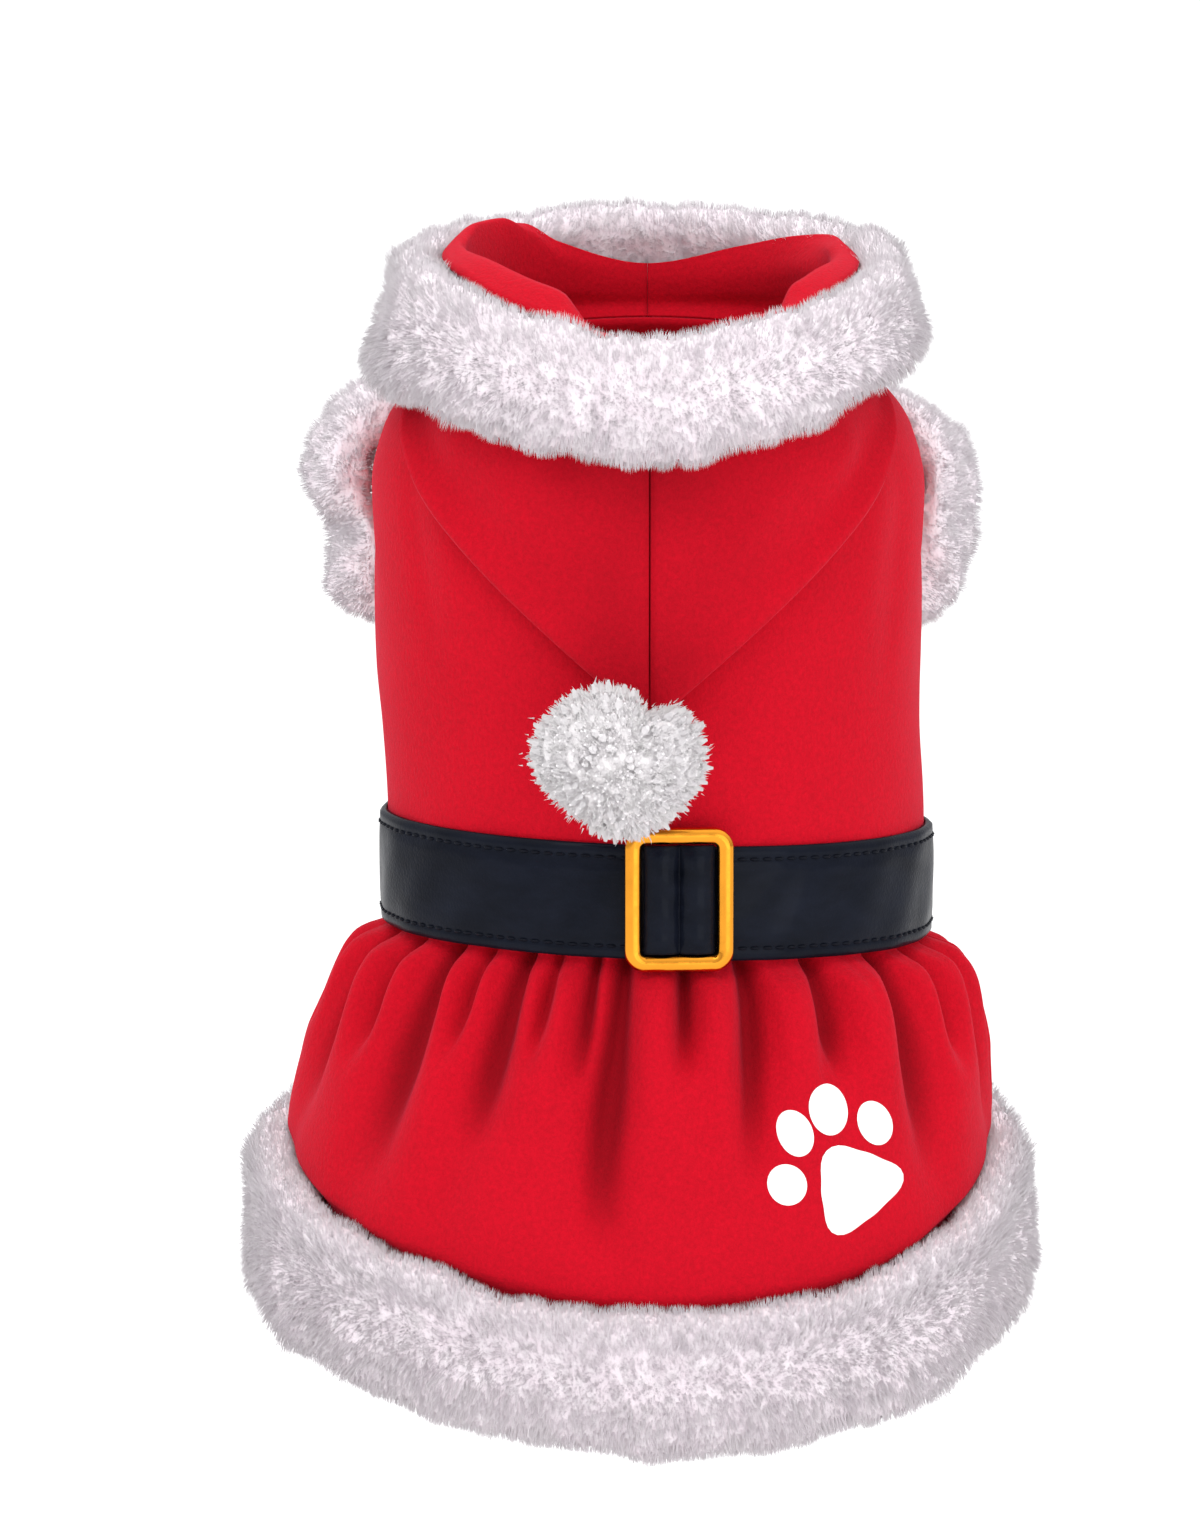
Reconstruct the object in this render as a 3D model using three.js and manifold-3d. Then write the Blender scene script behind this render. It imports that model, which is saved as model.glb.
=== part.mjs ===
// A hooded dog's Christmas dress of red fleece with white plush trim, filled out as if worn.
// Its back is towards -Y.
// Millimetres, +Z up. The origin is the middle of the neck opening, at the height of the neck seam.
// A cloth wall is a row of radial sections: angle 0 is the middle of the back, +90 is +X, 180 is the belly.
import * as THREE from 'three';
import { mergeVertices } from 'three/addons/utils/BufferGeometryUtils.js';
import Module from 'manifold-3d';

const wasm = await Module();
wasm.setup();

// Driving dimensions
const CLOTH = 1.6; // thickness of the fleece
const SEAM = 0.3; // gap between neighbouring pieces
const WAIST_DROP = 136; // neck seam down to the waist seam
const WAIST_ROLL = 1.8; // how much lower the waist lies at its right end than at its middle
const NECK_TILT = 5; // how much lower the neck seam lies at the nape than at its middle
const SIDE_SEAM = 124; // angle of the seam between the back panel and the belly panel
const BELT = { height: 28, thickness: 1.6, centre: -130.5 };
const HEM = { height: 35, plush: 13.8 };
const COLLAR = { plush: 13.6 };
const HOOD = { tip: -85, corner: -12, cornerAngle: 70, lift: 1.5 };
const ARMHOLE = { angle: 140, height: -36, radius: 22 };
const SLEEVE = { length: 19, startRadius: 24, endRadius: 20.5 };
const CUFF = { length: 25, innerRadius: 18.5, outerRadius: 31, lap: 2.1 }; // lap is over the sleeve's end
const BUCKLE = { width: 26.7, height: 35.4, bar: 4.1, thickness: 3.4, corner: 4.5, x: 4.9, z: -129.3 };
const KEEPER = { width: 17.4, rise: 2.6, wall: 1.3 };
const POMPOM = { x: -7.8, y: -88, z: -93.4, core: 11, radius: 23.4, squash: 0.84, neckRadius: 1.6 };
const LOCK = { count: 96, rootWidth: 2.6, headWidth: 5.4, headLength: 3 };

// The bodice, from the neck seam (at 0) to the waist seam (at 1)
const BODICE_RINGS = [
  { at: 0.0, halfWidth: 44.0, back: 42.0, belly: 38.0 },
  { at: 0.06, halfWidth: 57.5, back: 53.0, belly: 46.5 },
  { at: 0.14, halfWidth: 65.5, back: 62.5, belly: 56.5 },
  { at: 0.25, halfWidth: 69.0, back: 66.0, belly: 63.5 },
  { at: 0.4, halfWidth: 68.6, back: 65.5, belly: 66.5 },
  { at: 0.58, halfWidth: 67.4, back: 64.0, belly: 65.0 },
  { at: 0.72, halfWidth: 67.0, back: 62.8, belly: 60.5 },
  { at: 0.84, halfWidth: 67.0, back: 62.0, belly: 57.0 },
  { at: 1.0, halfWidth: 67.0, back: 62.0, belly: 57.0 },
];

// The skirt, from just below the belt (at 0) to the top of the plush hem (at 1)
const SKIRT_RINGS = [
  { at: 0.0, halfWidth: 66.6, back: 61.6, belly: 56.6 },
  { at: 0.07, halfWidth: 72.6, back: 66.6, belly: 60.0 },
  { at: 0.2, halfWidth: 78.2, back: 72.0, belly: 64.0 },
  { at: 0.4, halfWidth: 83.0, back: 77.4, belly: 69.0 },
  { at: 0.65, halfWidth: 86.8, back: 82.0, belly: 74.0 },
  { at: 1.0, halfWidth: 88.6, back: 85.5, belly: 78.0 },
];

// Height of the middle of the plush hem
const HEM_HEIGHTS = [
  { angle: -180, z: -190.0 },
  { angle: -135, z: -197.6 },
  { angle: -90, z: -214.0 },
  { angle: -60, z: -227.4 },
  { angle: -38, z: -235.2 },
  { angle: -20, z: -241.2 },
  { angle: 0, z: -244.7 },
  { angle: 20, z: -243.4 },
  { angle: 40, z: -239.3 },
  { angle: 60, z: -230.4 },
  { angle: 90, z: -215.4 },
  { angle: 135, z: -198.2 },
  { angle: 180, z: -190.0 },
];

// The skirt's gathers: valleys from the waist seam down.
// Width is in degrees, depth in mm, and reach is a share of the drop.
const GATHERS = [
  { angle: -166, width: 4.2, depth: 2.8, reach: 0.8 },
  { angle: -152, width: 3.6, depth: 3.2, reach: 0.55 },
  { angle: -137, width: 4.4, depth: 3.4, reach: 0.9 },
  { angle: -121, width: 3.4, depth: 2.4, reach: 0.5 },
  { angle: -107, width: 4.6, depth: 3.4, reach: 0.85 },
  { angle: -92, width: 3.6, depth: 2.6, reach: 0.5 },
  { angle: -78, width: 4.4, depth: 3.4, reach: 0.8 },
  { angle: -64, width: 3.6, depth: 2.6, reach: 0.5 },
  { angle: -51, width: 4.4, depth: 3.4, reach: 0.95 },
  { angle: -41, width: 3.0, depth: 2.2, reach: 0.4 },
  { angle: -31.5, width: 4.0, depth: 3.8, reach: 0.62 },
  { angle: -23.5, width: 2.8, depth: 2.2, reach: 0.35 },
  { angle: -14.5, width: 3.0, depth: 2.8, reach: 0.42 },
  { angle: -7.5, width: 3.4, depth: 4.2, reach: 0.92 },
  { angle: 6, width: 2.8, depth: 3.0, reach: 0.34 },
  { angle: 20, width: 3.8, depth: 4.0, reach: 0.78 },
  { angle: 37, width: 4.0, depth: 3.2, reach: 0.72 },
  { angle: 56, width: 4.4, depth: 3.8, reach: 0.88 },
  { angle: 69, width: 3.6, depth: 2.6, reach: 0.5 },
  { angle: 83, width: 4.4, depth: 3.4, reach: 0.82 },
  { angle: 98, width: 3.6, depth: 2.8, reach: 0.55 },
  { angle: 112, width: 4.4, depth: 3.2, reach: 0.8 },
  { angle: 127, width: 3.8, depth: 2.6, reach: 0.5 },
  { angle: 142, width: 4.4, depth: 3.4, reach: 0.9 },
  { angle: 158, width: 3.6, depth: 2.8, reach: 0.6 },
  { angle: 177, width: 4.2, depth: 3.2, reach: 0.75 },
];

// The plush band round the hood's edge: the ends of its middle line
const COLLAR_SECTIONS = [
  { angle: -180, topRho: 48.0, topZ: 26.2, bottomRho: 54.0, bottomZ: 6.0 },
  { angle: -150, topRho: 49.0, topZ: 25.0, bottomRho: 55.0, bottomZ: 5.0 },
  { angle: -120, topRho: 50.8, topZ: 23.5, bottomRho: 58.0, bottomZ: 2.0 },
  { angle: -90, topRho: 54.6, topZ: 21.0, bottomRho: 62.2, bottomZ: -0.8 },
  { angle: -68, topRho: 61.5, topZ: 18.5, bottomRho: 67.0, bottomZ: -2.5 },
  { angle: -45, topRho: 69.5, topZ: 14.5, bottomRho: 75.0, bottomZ: -3.6 },
  { angle: -25, topRho: 76.0, topZ: 8.0, bottomRho: 80.8, bottomZ: -10.2 },
  { angle: 0, topRho: 79.0, topZ: 1.8, bottomRho: 83.5, bottomZ: -14.8 },
  { angle: 25, topRho: 76.0, topZ: 7.0, bottomRho: 80.8, bottomZ: -8.8 },
  { angle: 45, topRho: 70.0, topZ: 12.0, bottomRho: 74.5, bottomZ: 0.4 },
  { angle: 68, topRho: 62.0, topZ: 17.5, bottomRho: 65.4, bottomZ: 6.0 },
  { angle: 90, topRho: 55.6, topZ: 21.8, bottomRho: 60.4, bottomZ: 7.0 },
  { angle: 120, topRho: 51.8, topZ: 22.8, bottomRho: 57.4, bottomZ: 7.5 },
  { angle: 150, topRho: 49.5, topZ: 25.0, bottomRho: 55.0, bottomZ: 7.0 },
  { angle: 180, topRho: 48.0, topZ: 26.2, bottomRho: 54.0, bottomZ: 6.0 },
];

// The hood's outer layer, at each angle from the back on either side: three points from the fold to the crest
const HOOD_RISE = [
  { angle: 0, lowRho: 70.6, lowZ: -66, highRho: 73.4, highZ: -38, midRho: 72.6, midZ: -14 },
  { angle: 20, lowRho: 70.4, lowZ: -50, highRho: 72.8, highZ: -30, midRho: 71.0, midZ: -11 },
  { angle: 40, lowRho: 69.6, lowZ: -34, highRho: 70.4, highZ: -20, midRho: 65.6, midZ: -5 },
  { angle: 56, lowRho: 66.8, lowZ: -20, highRho: 62.0, highZ: -10, midRho: 57.0, midZ: 0 },
  { angle: 70, lowRho: 61.6, lowZ: -10.6, highRho: 56.0, highZ: -4, midRho: 52.0, midZ: 5 },
  { angle: 80, lowRho: 53.0, lowZ: 0.5, highRho: 49.6, highZ: 7, midRho: 47.4, midZ: 14 },
  { angle: 90, lowRho: 47.0, lowZ: 6, highRho: 45.0, highZ: 13, midRho: 43.8, midZ: 20 },
  { angle: 112, lowRho: 44.4, lowZ: 8, highRho: 41.4, highZ: 14, midRho: 40.0, midZ: 19 },
  { angle: 140, lowRho: 41.6, lowZ: 8, highRho: 39.6, highZ: 12, midRho: 38.8, midZ: 16 },
  { angle: 180, lowRho: 39.4, lowZ: 8, highRho: 38.8, highZ: 11, midRho: 38.4, midZ: 14 },
];

// The crest of the lining, which rolls over inside the plush band on both sides, and its sewn edge behind
const HOOD_CRESTS = [
  { angle: -180, rho: 38.6, z: 16.5, edgeRho: 39.0, edgeZ: 18.5 },
  { angle: -146, rho: 38.6, z: 20.5, edgeRho: 40.2, edgeZ: 24.4 },
  { angle: -133, rho: 39.8, z: 27.0, edgeRho: 42.6, edgeZ: 29.2 },
  { angle: -119, rho: 41.6, z: 31.0, edgeRho: 45.8, edgeZ: 29.8 },
  { angle: -104, rho: 43.6, z: 30.8, edgeRho: 47.0, edgeZ: 28.6 },
  { angle: -90, rho: 45.2, z: 28.4, edgeRho: 48.4, edgeZ: 27.0 },
  { angle: -70, rho: 47.0, z: 25.6, edgeRho: 54.2, edgeZ: 24.0 },
  { angle: -50, rho: 47.0, z: 24.6, edgeRho: 61.0, edgeZ: 21.6 },
  { angle: -38, rho: 49.0, z: 23.4, edgeRho: 65.4, edgeZ: 17.8 },
  { angle: -26, rho: 55.6, z: 20.0, edgeRho: 69.0, edgeZ: 13.6 },
  { angle: -12, rho: 63.6, z: 12.2, edgeRho: 70.6, edgeZ: 9.8 },
  { angle: 0, rho: 68.6, z: 2.6, edgeRho: 70.8, edgeZ: 7.2 },
  { angle: 12, rho: 67.8, z: 5.0, edgeRho: 70.0, edgeZ: 9.4 },
  { angle: 24, rho: 64.6, z: 12.0, edgeRho: 68.2, edgeZ: 13.2 },
  { angle: 38, rho: 56.4, z: 18.8, edgeRho: 65.6, edgeZ: 15.6 },
  { angle: 52, rho: 49.0, z: 22.0, edgeRho: 60.6, edgeZ: 19.4 },
  { angle: 70, rho: 47.0, z: 23.4, edgeRho: 55.2, edgeZ: 22.6 },
  { angle: 90, rho: 44.6, z: 25.2, edgeRho: 48.0, edgeZ: 26.6 },
  { angle: 106, rho: 43.6, z: 25.0, edgeRho: 47.0, edgeZ: 27.4 },
  { angle: 122, rho: 41.0, z: 22.8, edgeRho: 43.2, edgeZ: 26.4 },
  { angle: 144, rho: 39.4, z: 19.6, edgeRho: 41.0, edgeZ: 23.4 },
  { angle: 180, rho: 38.6, z: 16.5, edgeRho: 39.0, edgeZ: 18.5 },
];

// Where the cuffs swell, by mm, or are creased where it is below 0.
// In degrees round the sleeve: 0 is right, 90 is down.
const CUFF_SWELLS = {
  left: [
    { at: 154, by: 8.0, width: 25 },
    { at: 187, by: -5.0, width: 13 },
    { at: 228, by: 2.6, width: 24 },
    { at: 40, by: 1.0, width: 30 },
  ],
  right: [
    { at: 24, by: 5.6, width: 28 },
    { at: 325, by: -2.4, width: 24 },
    { at: 120, by: 1.0, width: 26 },
    { at: 205, by: -1.2, width: 18 },
  ],
};

// Rows of the hood's inner layer between the neck seam and the fold, closer together over the shoulder
const HOOD_LEG_ROWS = [0, 0.1, 0.22, 0.37, 0.62, 1];
const HOOD_RISE_POINTS = 9;

// Rows of the bodice between the neck seam and the waist seam
const BODICE_ROWS = [0, 0.03, 0.06, 0.1, 0.15, 0.22, 0.34, 0.5, 0.67, 0.84, 1];

const rad = THREE.MathUtils.degToRad;
const { smoothstep, clamp, lerp } = THREE.MathUtils;

// A value of a table at a place between its rows, on a smooth curve that stays between neighbouring rows
function read(table, key, column, where) {
  const last = table.length - 1;
  const x = clamp(where, table[0][key], table[last][key]);
  let i = 0;
  while (i < last - 1 && x > table[i + 1][key]) i += 1;
  const slope = (k) => (table[k + 1][column] - table[k][column]) / (table[k + 1][key] - table[k][key]);
  const tangent = (k) => {
    if (k === 0 || k === last) return 0;
    const before = slope(k - 1);
    const after = slope(k);
    return before * after <= 0 ? 0 : (2 * before * after) / (before + after);
  };
  const step = table[i + 1][key] - table[i][key];
  const t = (x - table[i][key]) / step;
  const t2 = t * t;
  const t3 = t2 * t;
  return (2 * t3 - 3 * t2 + 1) * table[i][column] + (t3 - 2 * t2 + t) * step * tangent(i)
    + (3 * t2 - 2 * t3) * table[i + 1][column] + (t3 - t2) * step * tangent(i + 1);
}

const wrapped = (angle) => ((((angle + 180) % 360) + 360) % 360) - 180;

// How far the garment's middle lies to the right of the neck's middle, at a height
const lean = (z) => 2 * smoothstep(-z, 78, 118) - 4.6 * smoothstep(-z, 146, 215);

const place = (angle, rho, z) => new THREE.Vector3(
  rho * Math.sin(rad(angle)) + lean(z),
  -rho * Math.cos(rad(angle)),
  z,
);

// Radius, in a direction, of the oval that a row of rings gives
function ovalRadius(rings, at, angle) {
  const halfWidth = read(rings, 'at', 'halfWidth', at);
  const depth = read(rings, 'at', Math.cos(rad(angle)) > 0 ? 'back' : 'belly', at);
  return (halfWidth * depth) / Math.hypot(depth * Math.sin(rad(angle)), halfWidth * Math.cos(rad(angle)));
}

// Heights
const neckHeight = (angle) => -NECK_TILT * Math.cos(rad(angle));
const waistHeight = (angle) => -WAIST_DROP - WAIST_ROLL * Math.sin(rad(angle));
const hemMiddle = (angle) => read(HEM_HEIGHTS, 'angle', 'z', wrapped(angle));
const hemTop = (angle) => hemMiddle(angle) + HEM.height / 2;

function bodiceRadius(angle, z) {
  const at = (neckHeight(angle) - z) / (neckHeight(angle) - waistHeight(angle));
  return ovalRadius(BODICE_RINGS, at, angle);
}

// Sections are lists of { rho, z }, the wall's outer side first
function bodiceSection(angle, rows, out = 0) {
  return rows.map((at) => ({
    rho: ovalRadius(BODICE_RINGS, at, angle) + out,
    z: lerp(neckHeight(angle), waistHeight(angle), at),
  }));
}

// How deep the gathers are at an angle and a share of the skirt's drop
function gatherDepth(angle, at) {
  let depth = 0;
  for (const fold of GATHERS) {
    const across = wrapped(angle - fold.angle) / (fold.width * lerp(0.8, 1.6, at));
    const along = smoothstep(at, -0.3, 0.12) * (1 - smoothstep(at, fold.reach * 0.35, fold.reach * 1.15));
    depth += fold.depth * along * Math.exp(-across * across);
  }
  return depth;
}

function skirtSection(angle) {
  const top = waistHeight(angle) - SEAM;
  const below = BELT.centre - BELT.height / 2 - WAIST_ROLL * Math.sin(rad(angle)) - SEAM;
  const bottom = hemTop(angle) + 2;
  const flare = SKIRT_RINGS.map(({ at }) => ({
    rho: ovalRadius(SKIRT_RINGS, at, angle) - gatherDepth(angle, at),
    z: lerp(below, bottom, at),
  }));
  const tucked = { rho: flare[flare.length - 1].rho - 5.3, z: bottom - 6.2 };
  return [{ rho: flare[0].rho, z: top }, ...flare, tucked];
}

// The same section moved sideways in its own plane, towards the inside of the garment
function movedIn(section, distance) {
  return section.map((point, i) => {
    const before = section[Math.max(i - 1, 0)];
    const after = section[Math.min(i + 1, section.length - 1)];
    const run = Math.hypot(after.rho - before.rho, after.z - before.z);
    return {
      rho: point.rho + ((after.z - before.z) / run) * distance,
      z: point.z - ((after.rho - before.rho) / run) * distance,
    };
  });
}

function closedGeometry(points, faces) {
  const geometry = new THREE.BufferGeometry().setFromPoints(points);
  geometry.setIndex(faces.flat());
  geometry.computeVertexNormals();
  return geometry;
}

// Skins a row of loops that have equally many points, and closes its ends with the faces that capFaces gives
function loft(loops, joined, capFaces) {
  const count = loops[0].length;
  const faces = [];
  const spans = joined ? loops.length : loops.length - 1;
  for (let i = 0; i < spans; i += 1) {
    const a = i * count;
    const b = ((i + 1) % loops.length) * count;
    for (let k = 0; k < count; k += 1) {
      const next = (k + 1) % count;
      faces.push([a + k, a + next, b + next], [a + k, b + next, b + k]);
    }
  }
  if (!joined) {
    const end = (loops.length - 1) * count;
    for (const [p, q, r] of capFaces(count)) faces.push([r, q, p], [end + p, end + q, end + r]);
  }
  const geometry = closedGeometry(loops.flat(), faces);
  if (signedVolume(geometry) < 0) geometry.setIndex(faces.map(([p, q, r]) => [p, r, q]).flat());
  return geometry;
}

// End faces of a loop that runs down one side of a wall and up the other
function stripCap(count) {
  const faces = [];
  for (let k = 0; k < count / 2 - 1; k += 1) {
    const back = count - 1 - k;
    faces.push([k, k + 1, back], [k + 1, back - 1, back]);
  }
  return faces;
}

function signedVolume(geometry) {
  const p = geometry.getAttribute('position');
  const index = geometry.getIndex();
  const [a, b, c] = [new THREE.Vector3(), new THREE.Vector3(), new THREE.Vector3()];
  let sum = 0;
  for (let i = 0; i < index.count; i += 3) {
    a.fromBufferAttribute(p, index.getX(i));
    b.fromBufferAttribute(p, index.getX(i + 1));
    c.fromBufferAttribute(p, index.getX(i + 2));
    sum += a.dot(b.cross(c)) / 6;
  }
  return sum;
}

const steps = (from, to, count) => Array.from({ length: count + 1 }, (_, i) => lerp(from, to, i / count));

// A cloth wall from sections, between two angles or all the way round
function wall(sectionAt, angles, thickness, joined = false) {
  const loops = angles.map((angle) => {
    const outer = sectionAt(angle);
    const inner = movedIn(outer, thickness).reverse();
    return [...outer, ...inner].map(({ rho, z }) => place(angle, rho, z));
  });
  return loft(loops, joined, stripCap);
}

// Solids for the boolean cuts
function solid(geometry) {
  const bare = geometry.clone();
  bare.deleteAttribute('normal');
  bare.deleteAttribute('uv');
  const merged = mergeVertices(bare, 1e-4);
  return new wasm.Manifold(new wasm.Mesh({
    numProp: 3,
    vertProperties: new Float32Array(merged.getAttribute('position').array),
    triVerts: new Uint32Array(merged.getIndex().array),
  }));
}

function geometryOf(manifold) {
  const mesh = manifold.getMesh();
  const geometry = new THREE.BufferGeometry();
  geometry.setAttribute('position', new THREE.BufferAttribute(new Float32Array(mesh.vertProperties), 3));
  geometry.setIndex(new THREE.BufferAttribute(new Uint32Array(mesh.triVerts), 1));
  geometry.computeVertexNormals();
  return geometry;
}

// All that the bodice holds, with its own wall, grown by twice the seam gap
function bodiceBlock() {
  const loops = steps(0, 360, 72).slice(0, -1).map((angle) => {
    const section = bodiceSection(angle, BODICE_ROWS, 2 * SEAM);
    const points = [{ rho: 0.01, z: 0 }, ...section, { rho: 0.01, z: -WAIST_DROP }];
    return points.map(({ rho, z }) => place(angle, rho, z));
  });
  return solid(loft(loops, true, stripCap));
}

// Where a sleeve leaves the bodice, and its direction; side is -1 on the left and +1 on the right
function sleeveMatrix(side) {
  const angle = side * ARMHOLE.angle;
  const root = place(angle, bodiceRadius(angle, ARMHOLE.height), ARMHOLE.height);
  const axis = new THREE.Vector3(side * 0.47, 0.86, side < 0 ? -0.17 : -0.36).normalize();
  const turn = new THREE.Quaternion().setFromUnitVectors(new THREE.Vector3(0, 0, 1), axis);
  return new THREE.Matrix4().compose(root, turn, new THREE.Vector3(1, 1, 1));
}

const circle = (radiusAt, z, count) => Array.from({ length: count }, (_, i) => {
  const turn = (2 * Math.PI * i) / count;
  const radius = radiusAt(turn);
  return new THREE.Vector3(radius * Math.cos(turn), radius * Math.sin(turn), z);
});

// A tube along +Z: rings of its outer side up, then rings of its inner side down
function tube(rings, count) {
  return loft(rings.map(({ radiusAt, z }) => circle(radiusAt, z, count)), true, stripCap);
}

function sleeveGeometry(side, block) {
  const count = 20;
  const reach = 26; // how far the tube starts inside the bodice, before it is cut
  const radiusAt = (z) => lerp(SLEEVE.startRadius, SLEEVE.endRadius, smoothstep(z, -4, SLEEVE.length));
  const heights = [-reach, 0, SLEEVE.length * 0.55, SLEEVE.length];
  const outer = heights.map((z) => ({ z, radiusAt: () => radiusAt(z) }));
  const inner = heights.map((z) => ({ z, radiusAt: () => radiusAt(z) - CLOTH })).reverse();
  const geometry = tube([...outer, ...inner], count).applyMatrix4(sleeveMatrix(side));
  const pieces = solid(geometry).subtract(block).decompose();
  pieces.sort((a, b) => b.volume() - a.volume());
  return geometryOf(pieces[0]);
}

function armholeCutter(side) {
  const geometry = new THREE.CylinderGeometry(ARMHOLE.radius, ARMHOLE.radius, 60, 26);
  geometry.rotateX(Math.PI / 2).applyMatrix4(sleeveMatrix(side));
  return solid(geometry);
}

// The plush cuff: a soft ring that swells and creases as its table says
function cuffGeometry(side) {
  const swell = (turn, { at, by, width }) => {
    const away = THREE.MathUtils.euclideanModulo(turn - rad(at) + Math.PI, 2 * Math.PI) - Math.PI;
    return by * Math.exp(-((away / rad(width)) ** 2));
  };
  const swells = CUFF_SWELLS[side < 0 ? 'left' : 'right'];
  const puff = (turn) => swells.reduce((sum, one) => sum + swell(turn, one), 0);
  const middle = (CUFF.innerRadius + CUFF.outerRadius) / 2;
  const half = (CUFF.outerRadius - CUFF.innerRadius) / 2;
  const rings = steps(0, 360, 8).slice(0, -1).map((turn) => {
    const up = Math.cos(rad(turn));
    const out = Math.sin(rad(turn));
    const soften = (x) => Math.sign(x) * Math.abs(x) ** 0.8;
    return {
      z: SLEEVE.length + SEAM - CUFF.lap + (CUFF.length / 2) * (1 + soften(up)),
      radiusAt: (a) => middle + half * soften(out) + (out > 0 ? puff(a) * out : 0),
    };
  });
  return tube(rings, 24).applyMatrix4(sleeveMatrix(side));
}

// The lower edge of the dropped hood, where it folds back on itself
const hoodFold = (from) => Math.min(
  HOOD.tip + ((HOOD.corner - HOOD.tip) * Math.min(from, HOOD.cornerAngle)) / HOOD.cornerAngle
    + 10 * smoothstep(from, HOOD.cornerAngle - 4, HOOD.cornerAngle + 18),
  -2,
);

// A section's points, spread evenly along a smooth curve through its marks
function smoothed(marks, count) {
  const points = marks.map(({ rho, z }) => new THREE.Vector3(rho, z, 0));
  const curve = new THREE.CatmullRomCurve3(points, false, 'centripetal');
  return curve.getSpacedPoints(count - 1).map(({ x, y }) => ({ rho: x, z: y }));
}

// The hood lies dropped on the back: a section goes from the neck seam down to the fold and up to the plush.
// Towards the belly it goes straight up from the neck seam.
function hoodSection(angle) {
  const from = Math.abs(angle);
  const rise = (name) => read(HOOD_RISE, 'angle', name, from);
  const crest = (name) => read(HOOD_CRESTS, 'angle', name, angle);
  const marks = [
    { rho: rise('lowRho'), z: rise('lowZ') },
    { rho: rise('highRho'), z: rise('highZ') },
    { rho: rise('midRho'), z: rise('midZ') },
    { rho: crest('rho'), z: crest('z') },
    { rho: crest('edgeRho'), z: crest('edgeZ') },
  ];
  const foldZ = hoodFold(from);
  const reach = (neckHeight(angle) - foldZ - 1.4) / (neckHeight(angle) - waistHeight(angle));
  const onBody = bodiceSection(angle, HOOD_LEG_ROWS.map((row) => Math.max(reach, 0.012) * row));
  const leg = movedIn(onBody, -(HOOD.lift + CLOTH));
  const last = leg[leg.length - 1];
  const turn = { rho: last.rho + 0.7, z: last.z - 1.4 };
  const start = { rho: last.rho + 1.6, z: last.z - 1.1 };
  const dropped = [...leg, turn, ...smoothed([start, ...marks], HOOD_RISE_POINTS)];
  const neck = { rho: ovalRadius(BODICE_RINGS, 0, angle) - 0.4, z: neckHeight(angle) + 1.2 };
  const upright = smoothed([neck, ...marks], dropped.length);
  const share = smoothstep(from, HOOD.cornerAngle - 2, HOOD.cornerAngle + 20);
  return dropped.map((point, i) => ({
    rho: lerp(point.rho, upright[i].rho, share),
    z: lerp(point.z, upright[i].z, share),
  }));
}

// A rounded band of plush round a middle line from top to bottom
function plushLoop(angle, top, bottom, plush) {
  const radius = plush / 2;
  const slant = Math.atan2(bottom.rho - top.rho, top.z - bottom.z);
  const ends = [{ centre: top, from: 180 }, { centre: bottom, from: 0 }];
  return ends.flatMap(({ centre, from }) => [0, 40, 90, 140, 180].map((turn) => {
    const direction = rad(from - turn);
    const across = Math.cos(direction);
    const along = Math.sin(direction);
    return place(
      angle,
      centre.rho + radius * (across * Math.cos(slant) - along * Math.sin(slant)),
      centre.z + radius * (along * Math.cos(slant) + across * Math.sin(slant)),
    );
  }));
}

// End faces of a plush loop: a fan of triangles
const fanCap = (count) => Array.from({ length: count - 2 }, (_, k) => [0, k + 1, k + 2]);

function collarLoop(angle) {
  const at = (name) => read(COLLAR_SECTIONS, 'angle', name, wrapped(angle));
  const top = { rho: at('topRho'), z: at('topZ') };
  const bottom = { rho: at('bottomRho'), z: at('bottomZ') };
  return plushLoop(angle, top, bottom, COLLAR.plush);
}

function hemLoop(angle) {
  const flare = 2.6; // middle of the band outside the skirt's lower edge
  const rho = ovalRadius(SKIRT_RINGS, 1, angle) + flare;
  const half = (HEM.height - HEM.plush) / 2;
  const wave = 0.5 * Math.sin(rad(angle * 9)) + 0.4 * Math.sin(rad(angle * 5 + 40));
  return plushLoop(
    angle,
    { rho: rho - 0.6, z: hemMiddle(angle) + half },
    { rho: rho + 0.6 + wave, z: hemMiddle(angle) - half },
    HEM.plush,
  );
}

function beltGeometry() {
  const half = BELT.height / 2;
  const loops = steps(0, 360, 54).slice(0, -1).map((angle) => {
    const inside = ovalRadius(BODICE_RINGS, 1, angle) + SEAM;
    const middle = BELT.centre - WAIST_ROLL * Math.sin(rad(angle));
    const outside = inside + BELT.thickness;
    return [
      place(angle, inside, middle - half),
      place(angle, outside, middle - half),
      place(angle, outside + 0.4, middle),
      place(angle, outside, middle + half),
      place(angle, inside, middle + half),
    ];
  });
  return loft(loops, true, stripCap);
}

function roundedRectangle(width, height, corner) {
  const shape = new THREE.Shape();
  const x = width / 2 - corner;
  const y = height / 2 - corner;
  shape.absarc(x, y, corner, 0, Math.PI / 2);
  shape.absarc(-x, y, corner, Math.PI / 2, Math.PI);
  shape.absarc(-x, -y, corner, Math.PI, 1.5 * Math.PI);
  shape.absarc(x, -y, corner, 1.5 * Math.PI, 2 * Math.PI);
  shape.closePath();
  return shape;
}

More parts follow.
